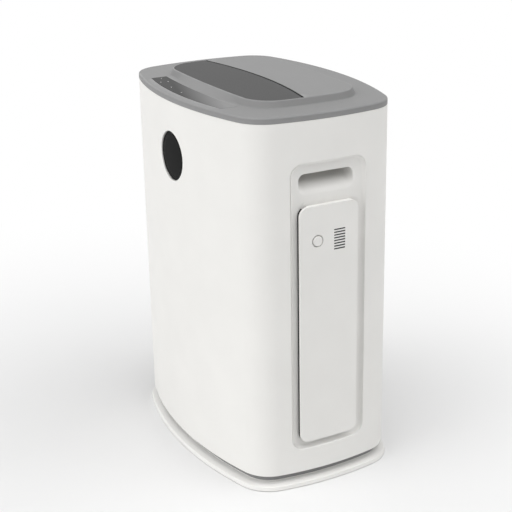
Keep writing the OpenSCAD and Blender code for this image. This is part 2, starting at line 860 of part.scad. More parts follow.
module filter_bay() {
  color(white_abs) difference() {
    union() {
      slab_x(bay_x0, recess_in_x, 0, door_zc,
        mouth_w + 2 * bay_wall, mouth_h + 2 * bay_wall, mouth_r + bay_wall);
      rod_x(bay_x0 - spigot_len, bay_x0 + 1, spigot_y, spigot_z, spigot_r);
    }
    slab_x(bay_x0 + bay_wall, recess_in_x + cut, 0, door_zc, mouth_w, mouth_h, mouth_r);
    rod_x(bay_x0 - spigot_len - cut, bay_x0 + 5, spigot_y, spigot_z, spigot_r - 2);
  }
}

module filter_frame() {
  w = mouth_w - 2 * slip;
  h = mouth_h - 2 * slip;
  x0 = bay_x0 + bay_wall + slip;
  color("#c9cbcb") difference() {
    slab_x(x0, x0 + frame_t, 0, door_zc, w, h, mouth_r - slip);
    slab_x(x0 + 2, x0 + frame_t + cut, 0, door_zc, w - 2 * frame_bar, h - 2 * frame_bar, 3);
    for (i = [-4 : 4]) slab_x(x0 - cut, x0 + 3, 0, door_zc + i * h / 10, w - 4 * frame_bar, h / 14, 3);
  }
}

module filter_foam() {
  x0 = bay_x0 + bay_wall + slip;
  color("#55585a") slab_x(x0 + 2 + slip, x0 + frame_t - 2, 0, door_zc,
    mouth_w - 4 * slip - 2 * frame_bar, mouth_h - 4 * slip - 2 * frame_bar, 3);
}

// Finger cup: a scoop that runs up behind the upper lip of the slot
module grip_cup() {
  difference() {
    block([grip_x0 - cup_wall, -grip_w / 2 - cup_wall, grip_z0 - cup_wall],
      [recess_in_x, grip_w / 2 + cup_wall, grip_z1 + grip_hook + cup_wall]);
    grip_hollow();
  }
}

module right_grip_cup() {
  color(white_abs) grip_cup();
}

module left_grip_cup() {
  color(white_abs) mirror([1, 0, 0]) grip_cup();
}

module left_vent_panel() {
  color(white_abs) mirror([1, 0, 0]) difference() {
    union() {
      slab_x(door_in_x, a, 0, door_zc, door_w, door_h, door_r);
      for (y = [-35, 35], z = [door_z0 + 15, door_z1 - 15]) rod_x(recess_x, door_in_x + 0.5, y, z, 5);
    }
    for (i = [0 : 23]) slab_x(door_in_x - cut, a + cut, 0, door_z0 + 32 + 12 * i, 56, 4, 1.9);
  }
}

module compressor_mounts() {
  color("#3a3a3a") for (x = [-1, 1], y = [-1, 1]) {
    rod_z(x * comp_mount_x, y * comp_mount_y, z_base1, comp_foot_z, 10);
    rod_z(x * comp_mount_x, y * comp_mount_y, z_base1, z_base1 + 8, 13);
  }
}

module compressor_housing() {
  color("#a9adb0") difference() {
    union() {
      rod_x(-comp_half, comp_half, 0, comp_z, compressor_r);
      block([-comp_half, -comp_mount_y - 12, comp_foot_z],
        [comp_half, comp_mount_y + 12, comp_foot_z + 10]);
      block([-18, -comp_mount_y + 10, comp_foot_z], [18, comp_mount_y - 10, comp_z]);
      both_sides() block([26, -24, comp_z], [66, 24, comp_z + compressor_r + 4]);
    }
    rod_x(-comp_half + comp_wall, comp_half - comp_wall, 0, comp_z, compressor_r - comp_wall);
    rod_x(-comp_half - cut, comp_half + cut, 0, comp_z, shaft_r + bore_slip);
  }
}

module compressor_stator() {
  color("#8a4b2a") difference() {
    rod_x(-stator_half, stator_half, 0, comp_z, compressor_r - comp_wall - slip);
    rod_x(-stator_half - cut, stator_half + cut, 0, comp_z, rotor_core_r + 0.5);
  }
}

module compressor_rotor() {
  fan_x = comp_half + 8;
  color(steel) {
    rod_x(-fan_x - 10, fan_x + 10, 0, comp_z, shaft_r);
    rod_x(-stator_half, stator_half, 0, comp_z, rotor_core_r);
    both_sides() {
      rod_x(fan_x, fan_x + 8, 0, comp_z, 14);
      for (i = [0 : 5]) translate([fan_x, 0, comp_z]) rotate([60 * i, 0, 0])
        block([1, -1.2, 10], [7, 1.2, compressor_r - 8]);
    }
  }
}

module compressor_heads() {
  z0 = comp_z + compressor_r + 4;
  color("#c2c6c8") both_sides() {
    block([28, -22, z0], [64, 22, z0 + 34]);
    for (i = [0 : 4]) block([26, -24, z0 + 3 + 6.5 * i], [66, 24, z0 + 6 + 6.5 * i]);
  }
}

module intake_hose() {
  color("#3f4244") tube(spline(hose_route, 3), hose_r, 10, [0.3, -0.9, 0.2], [[-1, 0, 0], [0, 0, -1]]);
}

module intake_silencer() {
  color("#3f4244") {
    rod_z(silencer_x, silencer_y, z_base1, z_base1 + silencer_h, silencer_r);
    rod_z(silencer_x, silencer_y, z_base1, silencer_top, spigot_r);
  }
}

module exhaust_muffler() {
  color("#3f4244") {
    rod_z(-silencer_x, 20, z_base1, z_base1 + 85, 20);
    rod_z(-silencer_x, 20, z_base1, z_base1 + 97, 8);
  }
}

module mid_deck() {
  color("#b4b8ba") difference() {
    intersection() {
      plate(-2 * wall, shelf_z0, shelf_z1);
      block([-shelf_x, -b, 0], [shelf_x, b, z_top]);
    }
    rod_z(0, 0, shelf_z0 - cut, shelf_z1 + cut, fan_r - 1);
    both_sides() block([post_x - seam_flange_w - slip, seam_flange_y - wall - slip, 0], [a, b, z_top]);
  }
}

module deck_posts() {
  color(steel) for (x = [-deck_post_x, deck_post_x], y = [-deck_post_y, deck_post_y])
    rod_z(x, y, z_base1, shelf_z0, 6);
}

module fan_frame() {
  color("#2f3133") {
    difference() {
      block([-fan_side / 2, -fan_side / 2, shelf_z1], [fan_side / 2, fan_side / 2, shelf_z1 + fan_t]);
      rod_z(0, 0, shelf_z1 - cut, shelf_z1 + fan_t + cut, fan_r);
      for (x = [-1, 1], y = [-1, 1])
        rod_z(x * fan_hole, y * fan_hole, shelf_z1 - cut, shelf_z1 + fan_t + cut, 2.2);
    }
    rod_z(0, 0, shelf_z1, shelf_z1 + 4, hub_r);
    rod_z(0, 0, shelf_z1, shelf_z1 + 14, 2);
    for (i = [0 : 3]) rotate([0, 0, 45 + 90 * i])
      block([hub_r - 2, -2, shelf_z1], [fan_r + 1, 2, shelf_z1 + 3]);
  }
}

module fan_rotor() {
  color("#2f3133") difference() {
    union() {
      rod_z(0, 0, shelf_z1 + 5, shelf_z1 + fan_t - 2, hub_r);
      for (i = [0 : 6]) rotate([0, 0, 360 * i / 7]) translate([hub_r - 2, 0, shelf_z1 + fan_t / 2 + 2])
        rotate([38, 0, 0]) block([0, -11, -1], [fan_r - hub_r - 1, 11, 1]);
    }
    rod_z(0, 0, shelf_z1, shelf_z1 + 15, 2 + bore_slip);
  }
}

module aftercooler() {
  color(steel) {
    block([-60, -106, shelf_z1], [60, -74, shelf_z1 + 4]);
    for (i = [0 : 14]) block([-58 + 8 * i, -106, shelf_z1 + 3], [-55 + 8 * i, -74, shelf_z1 + 42]);
    rod_x(-66, 66, -90, shelf_z1 + 24, 5);
  }
}

module sieve_beds() {
  color("#d5d7d6") for (x = [-bed_x, bed_x]) rod_z(x, bed_y, bed_z0, bed_z1, bed_r);
}

module bed_end_caps() {
  color("#55585a") for (x = [-bed_x, bed_x], z = [shelf_z1, bed_z1]) rod_z(x, bed_y, z, z + cap_t, cap_r);
}

module valve_block() {
  color(steel) block([-bed_x - 22, bed_y - valve_d / 2, valve_z0],
    [bed_x + 22, bed_y + valve_d / 2, valve_z0 + valve_t]);
}

module solenoid_coils() {
  z0 = valve_z0 + valve_t;
  color("#3a3a3a") for (x = [-70, -30, 30, 70]) {
    rod_z(x, bed_y, z0, z0 + coil_h, coil_r);
    block([x - 12, bed_y - 12, z0], [x + 12, bed_y + 12, z0 + 4]);
  }
}

module product_tank() {
  color("#d5d7d6") translate([0, tank_y, shelf_z1]) rotate_extrude() polygon([
    [0, 0], [tank_r - 6, 0], [tank_r, 6], [tank_r, tank_h - 6], [tank_r - 6, tank_h], [0, tank_h]
  ]);
}

module pressure_regulator() {
  z0 = shelf_z1 + tank_h;
  color("#c09a4a") {
    rod_z(0, tank_y, z0, z0 + regulator_h, 6);
    rod_z(0, tank_y, z0 + 6, z0 + regulator_h - 6, regulator_r);
  }
}

module oxygen_sensor() {
  y0 = bed_y + valve_d / 2;
  color("#e3e3df") block([-80, y0, valve_z0 + 5], [-40, y0 + 15, valve_z0 + 23]);
}

module feed_tube() {
  color("#dfe8ea") tube(spline(feed_route, 3), feed_r, 10, [1, 0, 0], [[0, 0, 1], [0, -1, 0]]);
}

module board_bracket() {
  color(steel) {
    block([bracket_x, -50, shelf_z1], [bracket_x + 2, 50, shelf_z1 + 175]);
    block([bracket_x, -50, shelf_z1], [bracket_foot_x, 50, shelf_z1 + 2]);
    for (y = [-40, 40], z = [shelf_z1 + 25, shelf_z1 + 155]) rod_x(bracket_x + 1, bracket_x + 8, y, z, 3);
  }
}

module main_board() {
  color(board_green) {
    block([bracket_x + 8, -46, shelf_z1 + 15], [bracket_x + 8 + board_t, 46, shelf_z1 + 165]);
    for (z = [30, 70, 110])
      block([bracket_x + 9, -36, shelf_z1 + z], [bracket_x + 13, -8, shelf_z1 + z + 22]);
  }
}

module run_capacitor() {
  color("#d8d8d4") {
    rod_z(-shelf_x + 36, -75, shelf_z1, shelf_z1 + 75, 17);
    rod_z(-shelf_x + 36, -75, shelf_z1, shelf_z1 + 82, 8);
  }
}

module power_supply() {
  color("#9ea2a5") {
    block([shelf_x - 77, -100, shelf_z1], [shelf_x - 8, -64, shelf_z1 + 44]);
    block([shelf_x - 70, -96, shelf_z1], [shelf_x - 15, -68, shelf_z1 + 50]);
  }
}

module power_inlet() {
  color("#262626") difference() {
    union() {
      slab_y(inlet_x, service_y, service_y + 2.5, service_z, inlet_w, inlet_h, 3);
      slab_y(inlet_x, service_y - 26, service_y + 1, service_z, inlet_body_w, inlet_body_h, 2);
    }
    slab_y(inlet_x, service_y - 15, service_y + 3, service_z, inlet_body_w - 3.6, inlet_body_h - 3.2, 2);
  }
  color(steel) for (p = [[-7, -2], [0, 2], [7, -2]])
    translate([inlet_x + p[0], service_y, service_z + p[1]]) block([-1, -16, -2], [1, 0, 2]);
}

module rocker_frame() {
  color("#262626") difference() {
    union() {
      slab_y(rocker_x, service_y, service_y + 2, service_z, rocker_w + 9, rocker_l + 9, 3);
      slab_y(rocker_x, service_y - 20, service_y + 1, service_z,
        rocker_w + 2 * rocker_wall, rocker_l + 2 * rocker_wall, 2);
    }
    slab_y(rocker_x, service_y - 18, service_y + 3, service_z, rocker_w, rocker_l, 1);
    rod_x(rocker_x - rocker_w / 2 - rocker_pin_out - slip, rocker_x + rocker_w / 2 + rocker_pin_out + slip,
      rocker_y, service_z, rocker_pin_r + bore_slip);
  }
}

module rocker_switch() {
  half = rocker_l / 2 - 1.2;
  color("#303030") translate([0, rocker_y, service_z]) rotate([-rocker_tilt, 0, 0]) {
    translate([rocker_x - rocker_w / 2 + 0.5, 0, 0]) rotate([90, 0, 90]) linear_extrude(rocker_w - 1)
      polygon([[-7, -5], [5, -half], [8, -half], [5.5, 0], [8, half], [5, half], [-7, 5]]);
    rod_x(rocker_x - rocker_w / 2 - rocker_pin_out, rocker_x + rocker_w / 2 + rocker_pin_out,
      0, 0, rocker_pin_r);
  }
}

module case_screws() {
  color(steel) {
    at_base_screws() {
      rod_z(0, 0, z_base0 + 4, z_shell0 + wall - 0.2, 2);
      rod_z(0, 0, z_base0 + 1, z_base0 + 4, 4);
    }
    at_rear_screws() {
      rod_y(0, seam_flange_y - wall - 2, seam_y + 5, 0, 1.6);
      rod_y(0, seam_y + 4, seam_y + 6.5, 0, 3.4);
    }
  }
}

base_plate();
rubber_feet();
front_shell();
recess_floors();
rear_cover();
top_cover();
case_screws();
top_lid();
lid_hinge_pins();
control_panel();
control_board();
bay_tub();
tray_wall();
display_window();
display_board();
side_door();
door_hinge_brackets();
door_hinge_pins();
latch_button();
latch_spring();
intake_screen();
door_magnet();
magnet_keeper();
filter_bay();
filter_frame();
filter_foam();
right_grip_cup();
left_vent_panel();
left_grip_cup();
compressor_mounts();
compressor_housing();
compressor_stator();
compressor_rotor();
compressor_heads();
intake_hose();
intake_silencer();
aftercooler();
valve_block();
solenoid_coils();
exhaust_muffler();
sieve_beds();
bed_end_caps();
product_tank();
pressure_regulator();
oxygen_sensor();
feed_tube();
humidifier_bottle();
bottle_cap();
outlet_nozzle();
mid_deck();
deck_posts();
fan_frame();
fan_rotor();
main_board();
board_bracket();
run_capacitor();
power_supply();
power_inlet();
rocker_frame();
rocker_switch();
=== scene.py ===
"""Looks of a home oxygen concentrator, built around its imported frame.

Every piece is drawn in millimetres of the row frame and scaled to metres when it becomes an object.
"""

import json
import logging
import math
from collections.abc import Sequence
from dataclasses import dataclass, replace
from enum import Enum

import bmesh
import bpy
from mathutils import Matrix, Vector

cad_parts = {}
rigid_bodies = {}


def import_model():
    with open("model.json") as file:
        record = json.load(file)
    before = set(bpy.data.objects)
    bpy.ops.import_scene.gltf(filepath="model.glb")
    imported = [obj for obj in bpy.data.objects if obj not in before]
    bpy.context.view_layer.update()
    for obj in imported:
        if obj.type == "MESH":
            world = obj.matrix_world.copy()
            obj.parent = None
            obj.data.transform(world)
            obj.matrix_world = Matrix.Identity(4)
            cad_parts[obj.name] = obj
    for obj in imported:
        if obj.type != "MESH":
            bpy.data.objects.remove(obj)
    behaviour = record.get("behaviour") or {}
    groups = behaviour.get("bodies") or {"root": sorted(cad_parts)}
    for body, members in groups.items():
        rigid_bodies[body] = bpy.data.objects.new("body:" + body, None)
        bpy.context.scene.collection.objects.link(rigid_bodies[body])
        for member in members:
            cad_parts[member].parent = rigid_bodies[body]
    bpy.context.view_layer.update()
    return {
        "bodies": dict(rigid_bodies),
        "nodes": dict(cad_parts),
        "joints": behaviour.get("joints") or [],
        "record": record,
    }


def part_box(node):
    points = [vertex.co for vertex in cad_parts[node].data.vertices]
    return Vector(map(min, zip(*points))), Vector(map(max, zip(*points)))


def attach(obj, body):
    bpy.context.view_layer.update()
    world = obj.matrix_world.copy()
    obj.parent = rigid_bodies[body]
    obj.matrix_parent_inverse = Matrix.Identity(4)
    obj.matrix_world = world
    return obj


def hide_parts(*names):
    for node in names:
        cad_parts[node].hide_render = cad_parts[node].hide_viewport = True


LOG = logging.getLogger("concentrator")
MM = 0.001
UP = Vector((0, 0, 1))
Flat = tuple[float, float]
Rows = list[list[Vector]]
Tree = bpy.types.NodeTree
Socket = bpy.types.NodeSocket

# Places that several sub-assemblies share: the side recesses' floors and wall, the panels' height and the
# filter mouth's width, height and corner radius, and the rear recess with what is in it
RECESS_X = 188.5
SHEET = 3.0
PANEL_Z = 236.5
MOUTH = (72.0, 319.0, 6.0)
SERVICE_Y = 124.0
SERVICE_Z = 71.0
INLET_X = -42.0
ROCKER_X = 20.0

# Sockets of the Mix node when it mixes colours
MIX_SHARE, MIX_A, MIX_B, MIX_OUT = 0, 6, 7, 2
# Widths of the slow cloud in a moulding's colour and of the patches of wear along its edges
CLOUD_MM = 70.0
PATCH_MM = 15.0
# How far the grain moves the roughness, the share that wear takes off it, and the gloss of a lacquer
GRAIN_SWING = 0.06
WEAR_POLISH = 0.3
COAT_ROUGH = 0.06


class Body(Enum):
    """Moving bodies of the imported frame."""

    CABINET = "cabinet"
    LID = "lid"
    DOOR = "door"
    BUTTON = "button"
    ROCKER = "rocker"


class Facing(Enum):
    """Way a flat face looks: the index of its axis, and the sign along it."""

    RIGHT = (0, 1.0)
    LEFT = (0, -1.0)
    FRONT = (1, -1.0)
    REAR = (1, 1.0)
    TOP = (2, 1.0)
    BOTTOM = (2, -1.0)

    @property
    def axis(self) -> int:
        """Index of the axis that the face is square to."""
        return self.value[0]

    @property
    def sign(self) -> float:
        """Direction of the face along its axis."""
        return self.value[1]

    def point(self, u: float, v: float, at: float) -> Vector:
        """Place the flat point u, v at a coordinate along the axis."""
        flat = (u, v)
        return Vector((*flat[:self.axis], at, *flat[self.axis:]))

    def row(self, loop: Sequence[Flat], at: float) -> list[Vector]:
        """Place all points of a flat loop at a coordinate along the axis."""
        return [self.point(u, v, at) for u, v in loop]

    @property
    def normal(self) -> Vector:
        """Unit vector out of the face."""
        return self.point(0.0, 0.0, self.sign)


def turn(steps: int, last: float = 90.0) -> list[float]:
    """Angles in radians from zero to a last one in degrees, in equal steps."""
    return [math.radians(last * i / steps) for i in range(steps + 1)]


def round_over(radius: float, steps: int) -> list[Flat]:
    """Rounded edge from the wall to the face: pairs of distance in from the wall and drop from the face."""
    return [(radius * (1 - math.cos(t)), radius * (1 - math.sin(t))) for t in turn(steps)]


def convex_edge(radius: float, steps: int = 4) -> list[Flat]:
    """Rounded edge from the face to the wall: pairs of outward growth and depth."""
    return [(drop, inset) for inset, drop in round_over(radius, steps)]


def limit(share: float) -> float:
    """Keep a share between 0 and 1."""
    return min(1.0, max(0.0, share))


def rounded_loop(w: float, h: float, r: float, centre: Flat = (0.0, 0.0), steps: int = 8) -> list[Flat]:
    """Rectangle with round corners, as flat points.

    Args:
        w: width.
        h: height.
        r: corner radius.
        centre: middle of the rectangle.
        steps: facets in each corner.

    Returns:
        The points, anticlockwise.
    """
    r = min(r, w / 2 - 0.001, h / 2 - 0.001)
    points = []
    for k, (sx, sy) in enumerate(((1, 1), (-1, 1), (-1, -1), (1, -1))):
        for t in turn(steps):
            angle = t + k * math.pi / 2
            points.append((
                centre[0] + sx * (w / 2 - r) + r * math.cos(angle),
                centre[1] + sy * (h / 2 - r) + r * math.sin(angle),
            ))
    return points


def linear(code: str) -> tuple[float, float, float, float]:
    """Change an sRGB hex colour to linear values.

    Args:
        code: colour such as #a1b2c3.

    Returns:
        Linear red, green, blue and alpha.
    """
    values = [int(code[i:i + 2], 16) / 255 for i in (1, 3, 5)]
    curve = [v / 12.92 if v <= 0.04045 else ((v + 0.055) / 1.055) ** 2.4 for v in values]
    return (curve[0], curve[1], curve[2], 1.0)


def add_node(tree: Tree, kind: str, feeds: dict | None = None, **settings) -> bpy.types.Node:
    """Add one shader node.

    Args:
        tree: tree that gets the node.
        kind: node type, without the prefix that shader nodes share.
        feeds: name or index of an input, and the socket or the constant that feeds it.
        settings: input names, with spaces as underscores, or node settings, and their values.

    Returns:
        The node.
    """
    node = tree.nodes.new("ShaderNode" + kind)
    for key, value in settings.items():
        name = key.replace("_", " ")
        if name in node.inputs:
            node.inputs[name].default_value = value
        else:
            setattr(node, key, value)
    for key, value in (feeds or {}).items():
        if isinstance(value, Socket):
            tree.links.new(value, node.inputs[key])
        else:
            node.inputs[key].default_value = value
    return node


@dataclass(frozen=True)
class Finish:
    """Moulded plastic: even colour with a faint cloud, and a spark-eroded grain in its gloss and relief.

    The real grain is about 0.1 mm wide. It is drawn some 2 mm wide, because a finer one doesn't show in the
    render.
    """

    name: str
    colour: str
    rough: float
    slot: str = ""
    grain_mm: float = 2.2
    relief: float = 0.06
    spread: float = 0.035
    metal: float = 0.0
    coat: float = 0.0
    specular: float = 0.5
    wear: float = 0.1

    def height(self, tree: Tree, place: Socket) -> Socket:
        """Add the pattern that the relief comes from, on object coordinates in metres."""
        grain = add_node(tree, "TexNoise", {"Vector": place}, Scale=1 / (self.grain_mm * MM), Detail=3.0)
        return grain.outputs["Fac"]

    def tint(self, tree: Tree, place: Socket) -> Socket:
        """Add the colour, which a slow cloud moves a little to each side.

        Args:
            tree: tree of the material.
            place: object coordinates in metres.

        Returns:
            The socket with the colour.
        """
        cloud = add_node(tree, "TexNoise", {"Vector": place}, Scale=1 / (CLOUD_MM * MM), Detail=2.0)
        feeds = {MIX_SHARE: cloud.outputs["Fac"]}
        for index, share in ((MIX_A, 1 - self.spread), (MIX_B, 1 + self.spread)):
            feeds[index] = [c * share for c in linear(self.colour)[:3]] + [1.0]
        return add_node(tree, "Mix", feeds, data_type="RGBA").outputs[MIX_OUT]

    def worn(self, tree: Tree, place: Socket) -> Socket:
        """Add the wear of rounded edges, in patches.

        Args:
            tree: tree of the material.
            place: object coordinates in metres.

        Returns:
            The socket with the share of wear.
        """
        edge = add_node(tree, "Attribute", attribute_name="wear")
        patch = add_node(tree, "TexNoise", {"Vector": place}, Scale=1 / (PATCH_MM * MM), Detail=3.0)
        feeds = {0: edge.outputs["Fac"], 1: patch.outputs["Fac"]}
        return add_node(tree, "Math", feeds, operation="MULTIPLY").outputs[0]

    def shade(self, shader: bpy.types.Node) -> None:
        """Set the shader's constant values.

        Args:
            shader: principled shader of the material.
        """
        shader.inputs["Metallic"].default_value = self.metal
        shader.inputs["Specular IOR Level"].default_value = self.specular
        shader.inputs["Coat Weight"].default_value = self.coat
        shader.inputs["Coat Roughness"].default_value = COAT_ROUGH

    def material(self) -> bpy.types.Material:
        """Find this finish's material, or make it.

        Returns:
            The material.
        """
        found = bpy.data.materials.get(self.name)
        if found:
            return found
        made = bpy.data.materials.new(self.name)
        made.use_nodes = True
        tree = made.node_tree
        place = add_node(tree, "TexCoord").outputs["Object"]
        height = self.height(tree, place)
        worn = self.worn(tree, place)
        pale = (self.wear, self.wear, self.wear, 1.0)
        feeds = {MIX_SHARE: worn, MIX_A: self.tint(tree, place), MIX_B: pale}
        paler = add_node(tree, "Mix", feeds, data_type="RGBA", blend_type="SCREEN")
        # The same grain breaks up the gloss, and worn edges are smoother
        low, high = max(0.02, self.rough - GRAIN_SWING), self.rough + GRAIN_SWING
        gloss = add_node(tree, "MapRange", {"Value": height}, To_Min=low, To_Max=high)
        feeds = {0: worn, 1: -WEAR_POLISH * self.rough, 2: gloss.outputs["Result"]}
        polish = add_node(tree, "Math", feeds, operation="MULTIPLY_ADD")
        bump = add_node(tree, "Bump", {"Height": height}, Strength=self.relief, Distance=self.grain_mm * MM)
        shader = tree.nodes["Principled BSDF"]
        tree.links.new(paler.outputs[MIX_OUT], shader.inputs["Base Color"])
        tree.links.new(polish.outputs[0], shader.inputs["Roughness"])
        tree.links.new(bump.outputs["Normal"], shader.inputs["Normal"])
        self.shade(shader)
        return made


@dataclass(frozen=True)
class BrushedMetal(Finish):
    """Metal: a grain drawn out along one axis, as rolling or turning leaves it."""

    stretch: float = 12.0

    def height(self, tree: Tree, place: Socket) -> Socket:
        """Add drawn-out noise; see Finish.height."""
        drawn = add_node(tree, "Mapping", {"Vector": place}, Scale=(1.0, 1.0, 1 / self.stretch))
        return super().height(tree, drawn.outputs["Vector"])


@dataclass(frozen=True)
class OpenFoam(Finish):
    """Open-cell foam: round cells with deep dark pores."""

    def height(self, tree: Tree, place: Socket) -> Socket:
        """Add cells; see Finish.height."""
        cells = add_node(tree, "TexVoronoi", {"Vector": place}, Scale=1 / (self.grain_mm * MM))
        return cells.outputs["Distance"]


@dataclass(frozen=True)
class ClearPlastic(Finish):
    """Clear moulding: light passes through, with the faint waves of a blown wall."""

    def shade(self, shader: bpy.types.Node) -> None:
        """Make the shader clear.

        Args:
            shader: principled shader of the material.
        """
        super().shade(shader)
        shader.inputs["Transmission Weight"].default_value = 0.92
        shader.inputs["IOR"].default_value = 1.46


@dataclass(frozen=True)
class ReflectionFadeStrip(Finish):
    """Polished acrylic: its dark end fades to the cover's grey along a slanted front, a painted reflection.
    """

    # Grey of the painted reflection at the strip's lighter end
    pale: str = "#8f8f8f"
    slant: float = 3.6
    fade_from: float = -425.0
    fade_to: float = -250.0

    def tint(self, tree: Tree, place: Socket) -> Socket:
        """Add the painted reflection, a fade along the strip.

        Args:
            tree: tree of the material.
            place: object coordinates in metres.

        Returns:
            The socket with the colour.
        """
        parts = add_node(tree, "SeparateXYZ", {"Vector": place}).outputs
        lean = {0: parts["Y"], 1: self.slant, 2: parts["X"]}
        along = add_node(tree, "Math", lean, operation="MULTIPLY_ADD")
        ends = {"From_Min": self.fade_from * MM, "From_Max": self.fade_to * MM}
        fade = add_node(tree, "MapRange", {"Value": along.outputs[0]}, **ends)
        dark, pale = super().tint(tree, place), linear(self.pale)
        feeds = {MIX_SHARE: fade.outputs["Result"], MIX_A: dark, MIX_B: pale}
        return add_node(tree, "Mix", feeds, data_type="RGBA").outputs[MIX_OUT]


# Moulded in a spark-eroded tool: a soft, even sheen that hides small marks, in white, grey and dark grey
WHITE = Finish("white satin ABS", "#eae9e6", 0.5, "white_abs", specular=0.2)
GREY = Finish("grey satin ABS", "#8c8c8c", 0.55, "grey_abs", specular=0.1, wear=0.08)
DARK = Finish("dark grey satin ABS", "#525252", 0.55, "dark_grey_abs", specular=0.05, wear=0.03)
# Moulded in a polished tool: deep black, flat, with a faint soft reflection
GLOSS = Finish(
    "black polished acrylic", "#0e0e0e", 0.3, "black_acrylic",
    grain_mm=2.0, relief=0.01, specular=0.02, wear=0.005,
)
# Polished sheet: its own dark colour fades to the cover's grey towards one end, a painted reflection
PANEL = ReflectionFadeStrip(
    "acrylic strip with painted reflection", "#363636", 0.3, "black_acrylic",
    grain_mm=2.0, relief=0.01, specular=0.02, wear=0.01,
)
# Screen-printed ink: flat and chalky
PRINT = Finish("white print", "#f4f4f4", 0.5, "white_abs", grain_mm=0.3, relief=0.02)
# Pressed in a mould: dull, nearly black and slightly mottled
RUBBER = Finish(
    "black rubber", "#262626", 0.75, "black_rubber",
    grain_mm=1.2, relief=0.2, spread=0.1, specular=0.1, wear=0.01,
)
# Drawn and plated: bright, with fine streaks along the piece
STEEL = BrushedMetal("bright plated steel", "#b9bcc0", 0.28, "plated_steel", grain_mm=0.4, metal=1.0)
# Dipped in zinc: dull grey in patches as wide as its crystals
ZINC = BrushedMetal(
    "galvanised sheet", "#a9adb0", 0.42, "zinc_sheet", grain_mm=6.0, spread=0.12, metal=0.9, stretch=2.0
)
# Die cast and blasted: pale, matt and a little rough
CAST = Finish("cast aluminium", "#a6a9ac", 0.5, "cast_aluminium", grain_mm=0.6, relief=0.3, metal=0.9)
# Lacquer over copper tracks: glossy green with low ridges as wide as a track
BOARD = Finish(
    "solder mask on board", "#24573a", 0.35, "circuit_board", grain_mm=2.5, relief=0.1, spread=0.15, coat=0.4
)
# Moulded with glass fibre: black with a dry, slightly streaky sheen
NYLON = Finish(
    "black moulded nylon", "#2b2b2b", 0.5, "black_nylon", grain_mm=1.5, relief=0.1, specular=0.2, wear=0.02
)
# Blown and cut: pores of their real width, which swallow the light
FOAM = OpenFoam(
    "open-cell filter foam", "#3d4043", 0.95, "filter_foam", grain_mm=1.6, relief=0.9, spread=0.2
)
# Blown into a mould: clear, with slow waves that bend what is behind
CLEAR = ClearPlastic("clear blown polymer", "#eef4f5", 0.06, "clear_polymer", grain_mm=12.0, relief=0.03)
# Turned from bar: warm yellow with fine tool marks
BRASS = BrushedMetal("turned brass", "#c9a45a", 0.3, "brass", grain_mm=0.5, metal=1.0)
# Wound wire under varnish: warm brown, ribbed by the wire
COPPER = BrushedMetal(
    "varnished copper winding", "#a4562b", 0.35, "copper_winding", grain_mm=0.8, relief=0.3, metal=0.9
)
# Pressed powder, fired: dull dark grey
FERRITE = Finish("sintered ferrite", "#4b4d51", 0.6, "ferrite", grain_mm=0.5, relief=0.15)
# Calendered paper: white without any gloss
PAPER = Finish("white studio paper", "#e6e6e6", 0.9, grain_mm=3.0, relief=0.0, spread=0.004)
SLOT_FINISH = {
    finish.slot: finish
    for finish in (
        WHITE, GREY, DARK, GLOSS, RUBBER, STEEL, ZINC, CAST,
        BOARD, NYLON, FOAM, CLEAR, BRASS, COPPER, FERRITE,
    )
}


@dataclass(frozen=True)
class Port:
    """Hole with round corners in a flat face, and the radius of its rounded edge."""

    u: float
    v: float
    w: float
    h: float
    r: float
    edge: float = 0.4

    def loop(self, grow: float) -> list[Flat]:
        """Outline of the hole, moved outwards by a growth."""
        steps = 12 if self.r > 0.49 * self.w else 6
        return rounded_loop(self.w + 2 * grow, self.h + 2 * grow, self.r + grow, (self.u, self.v), steps)


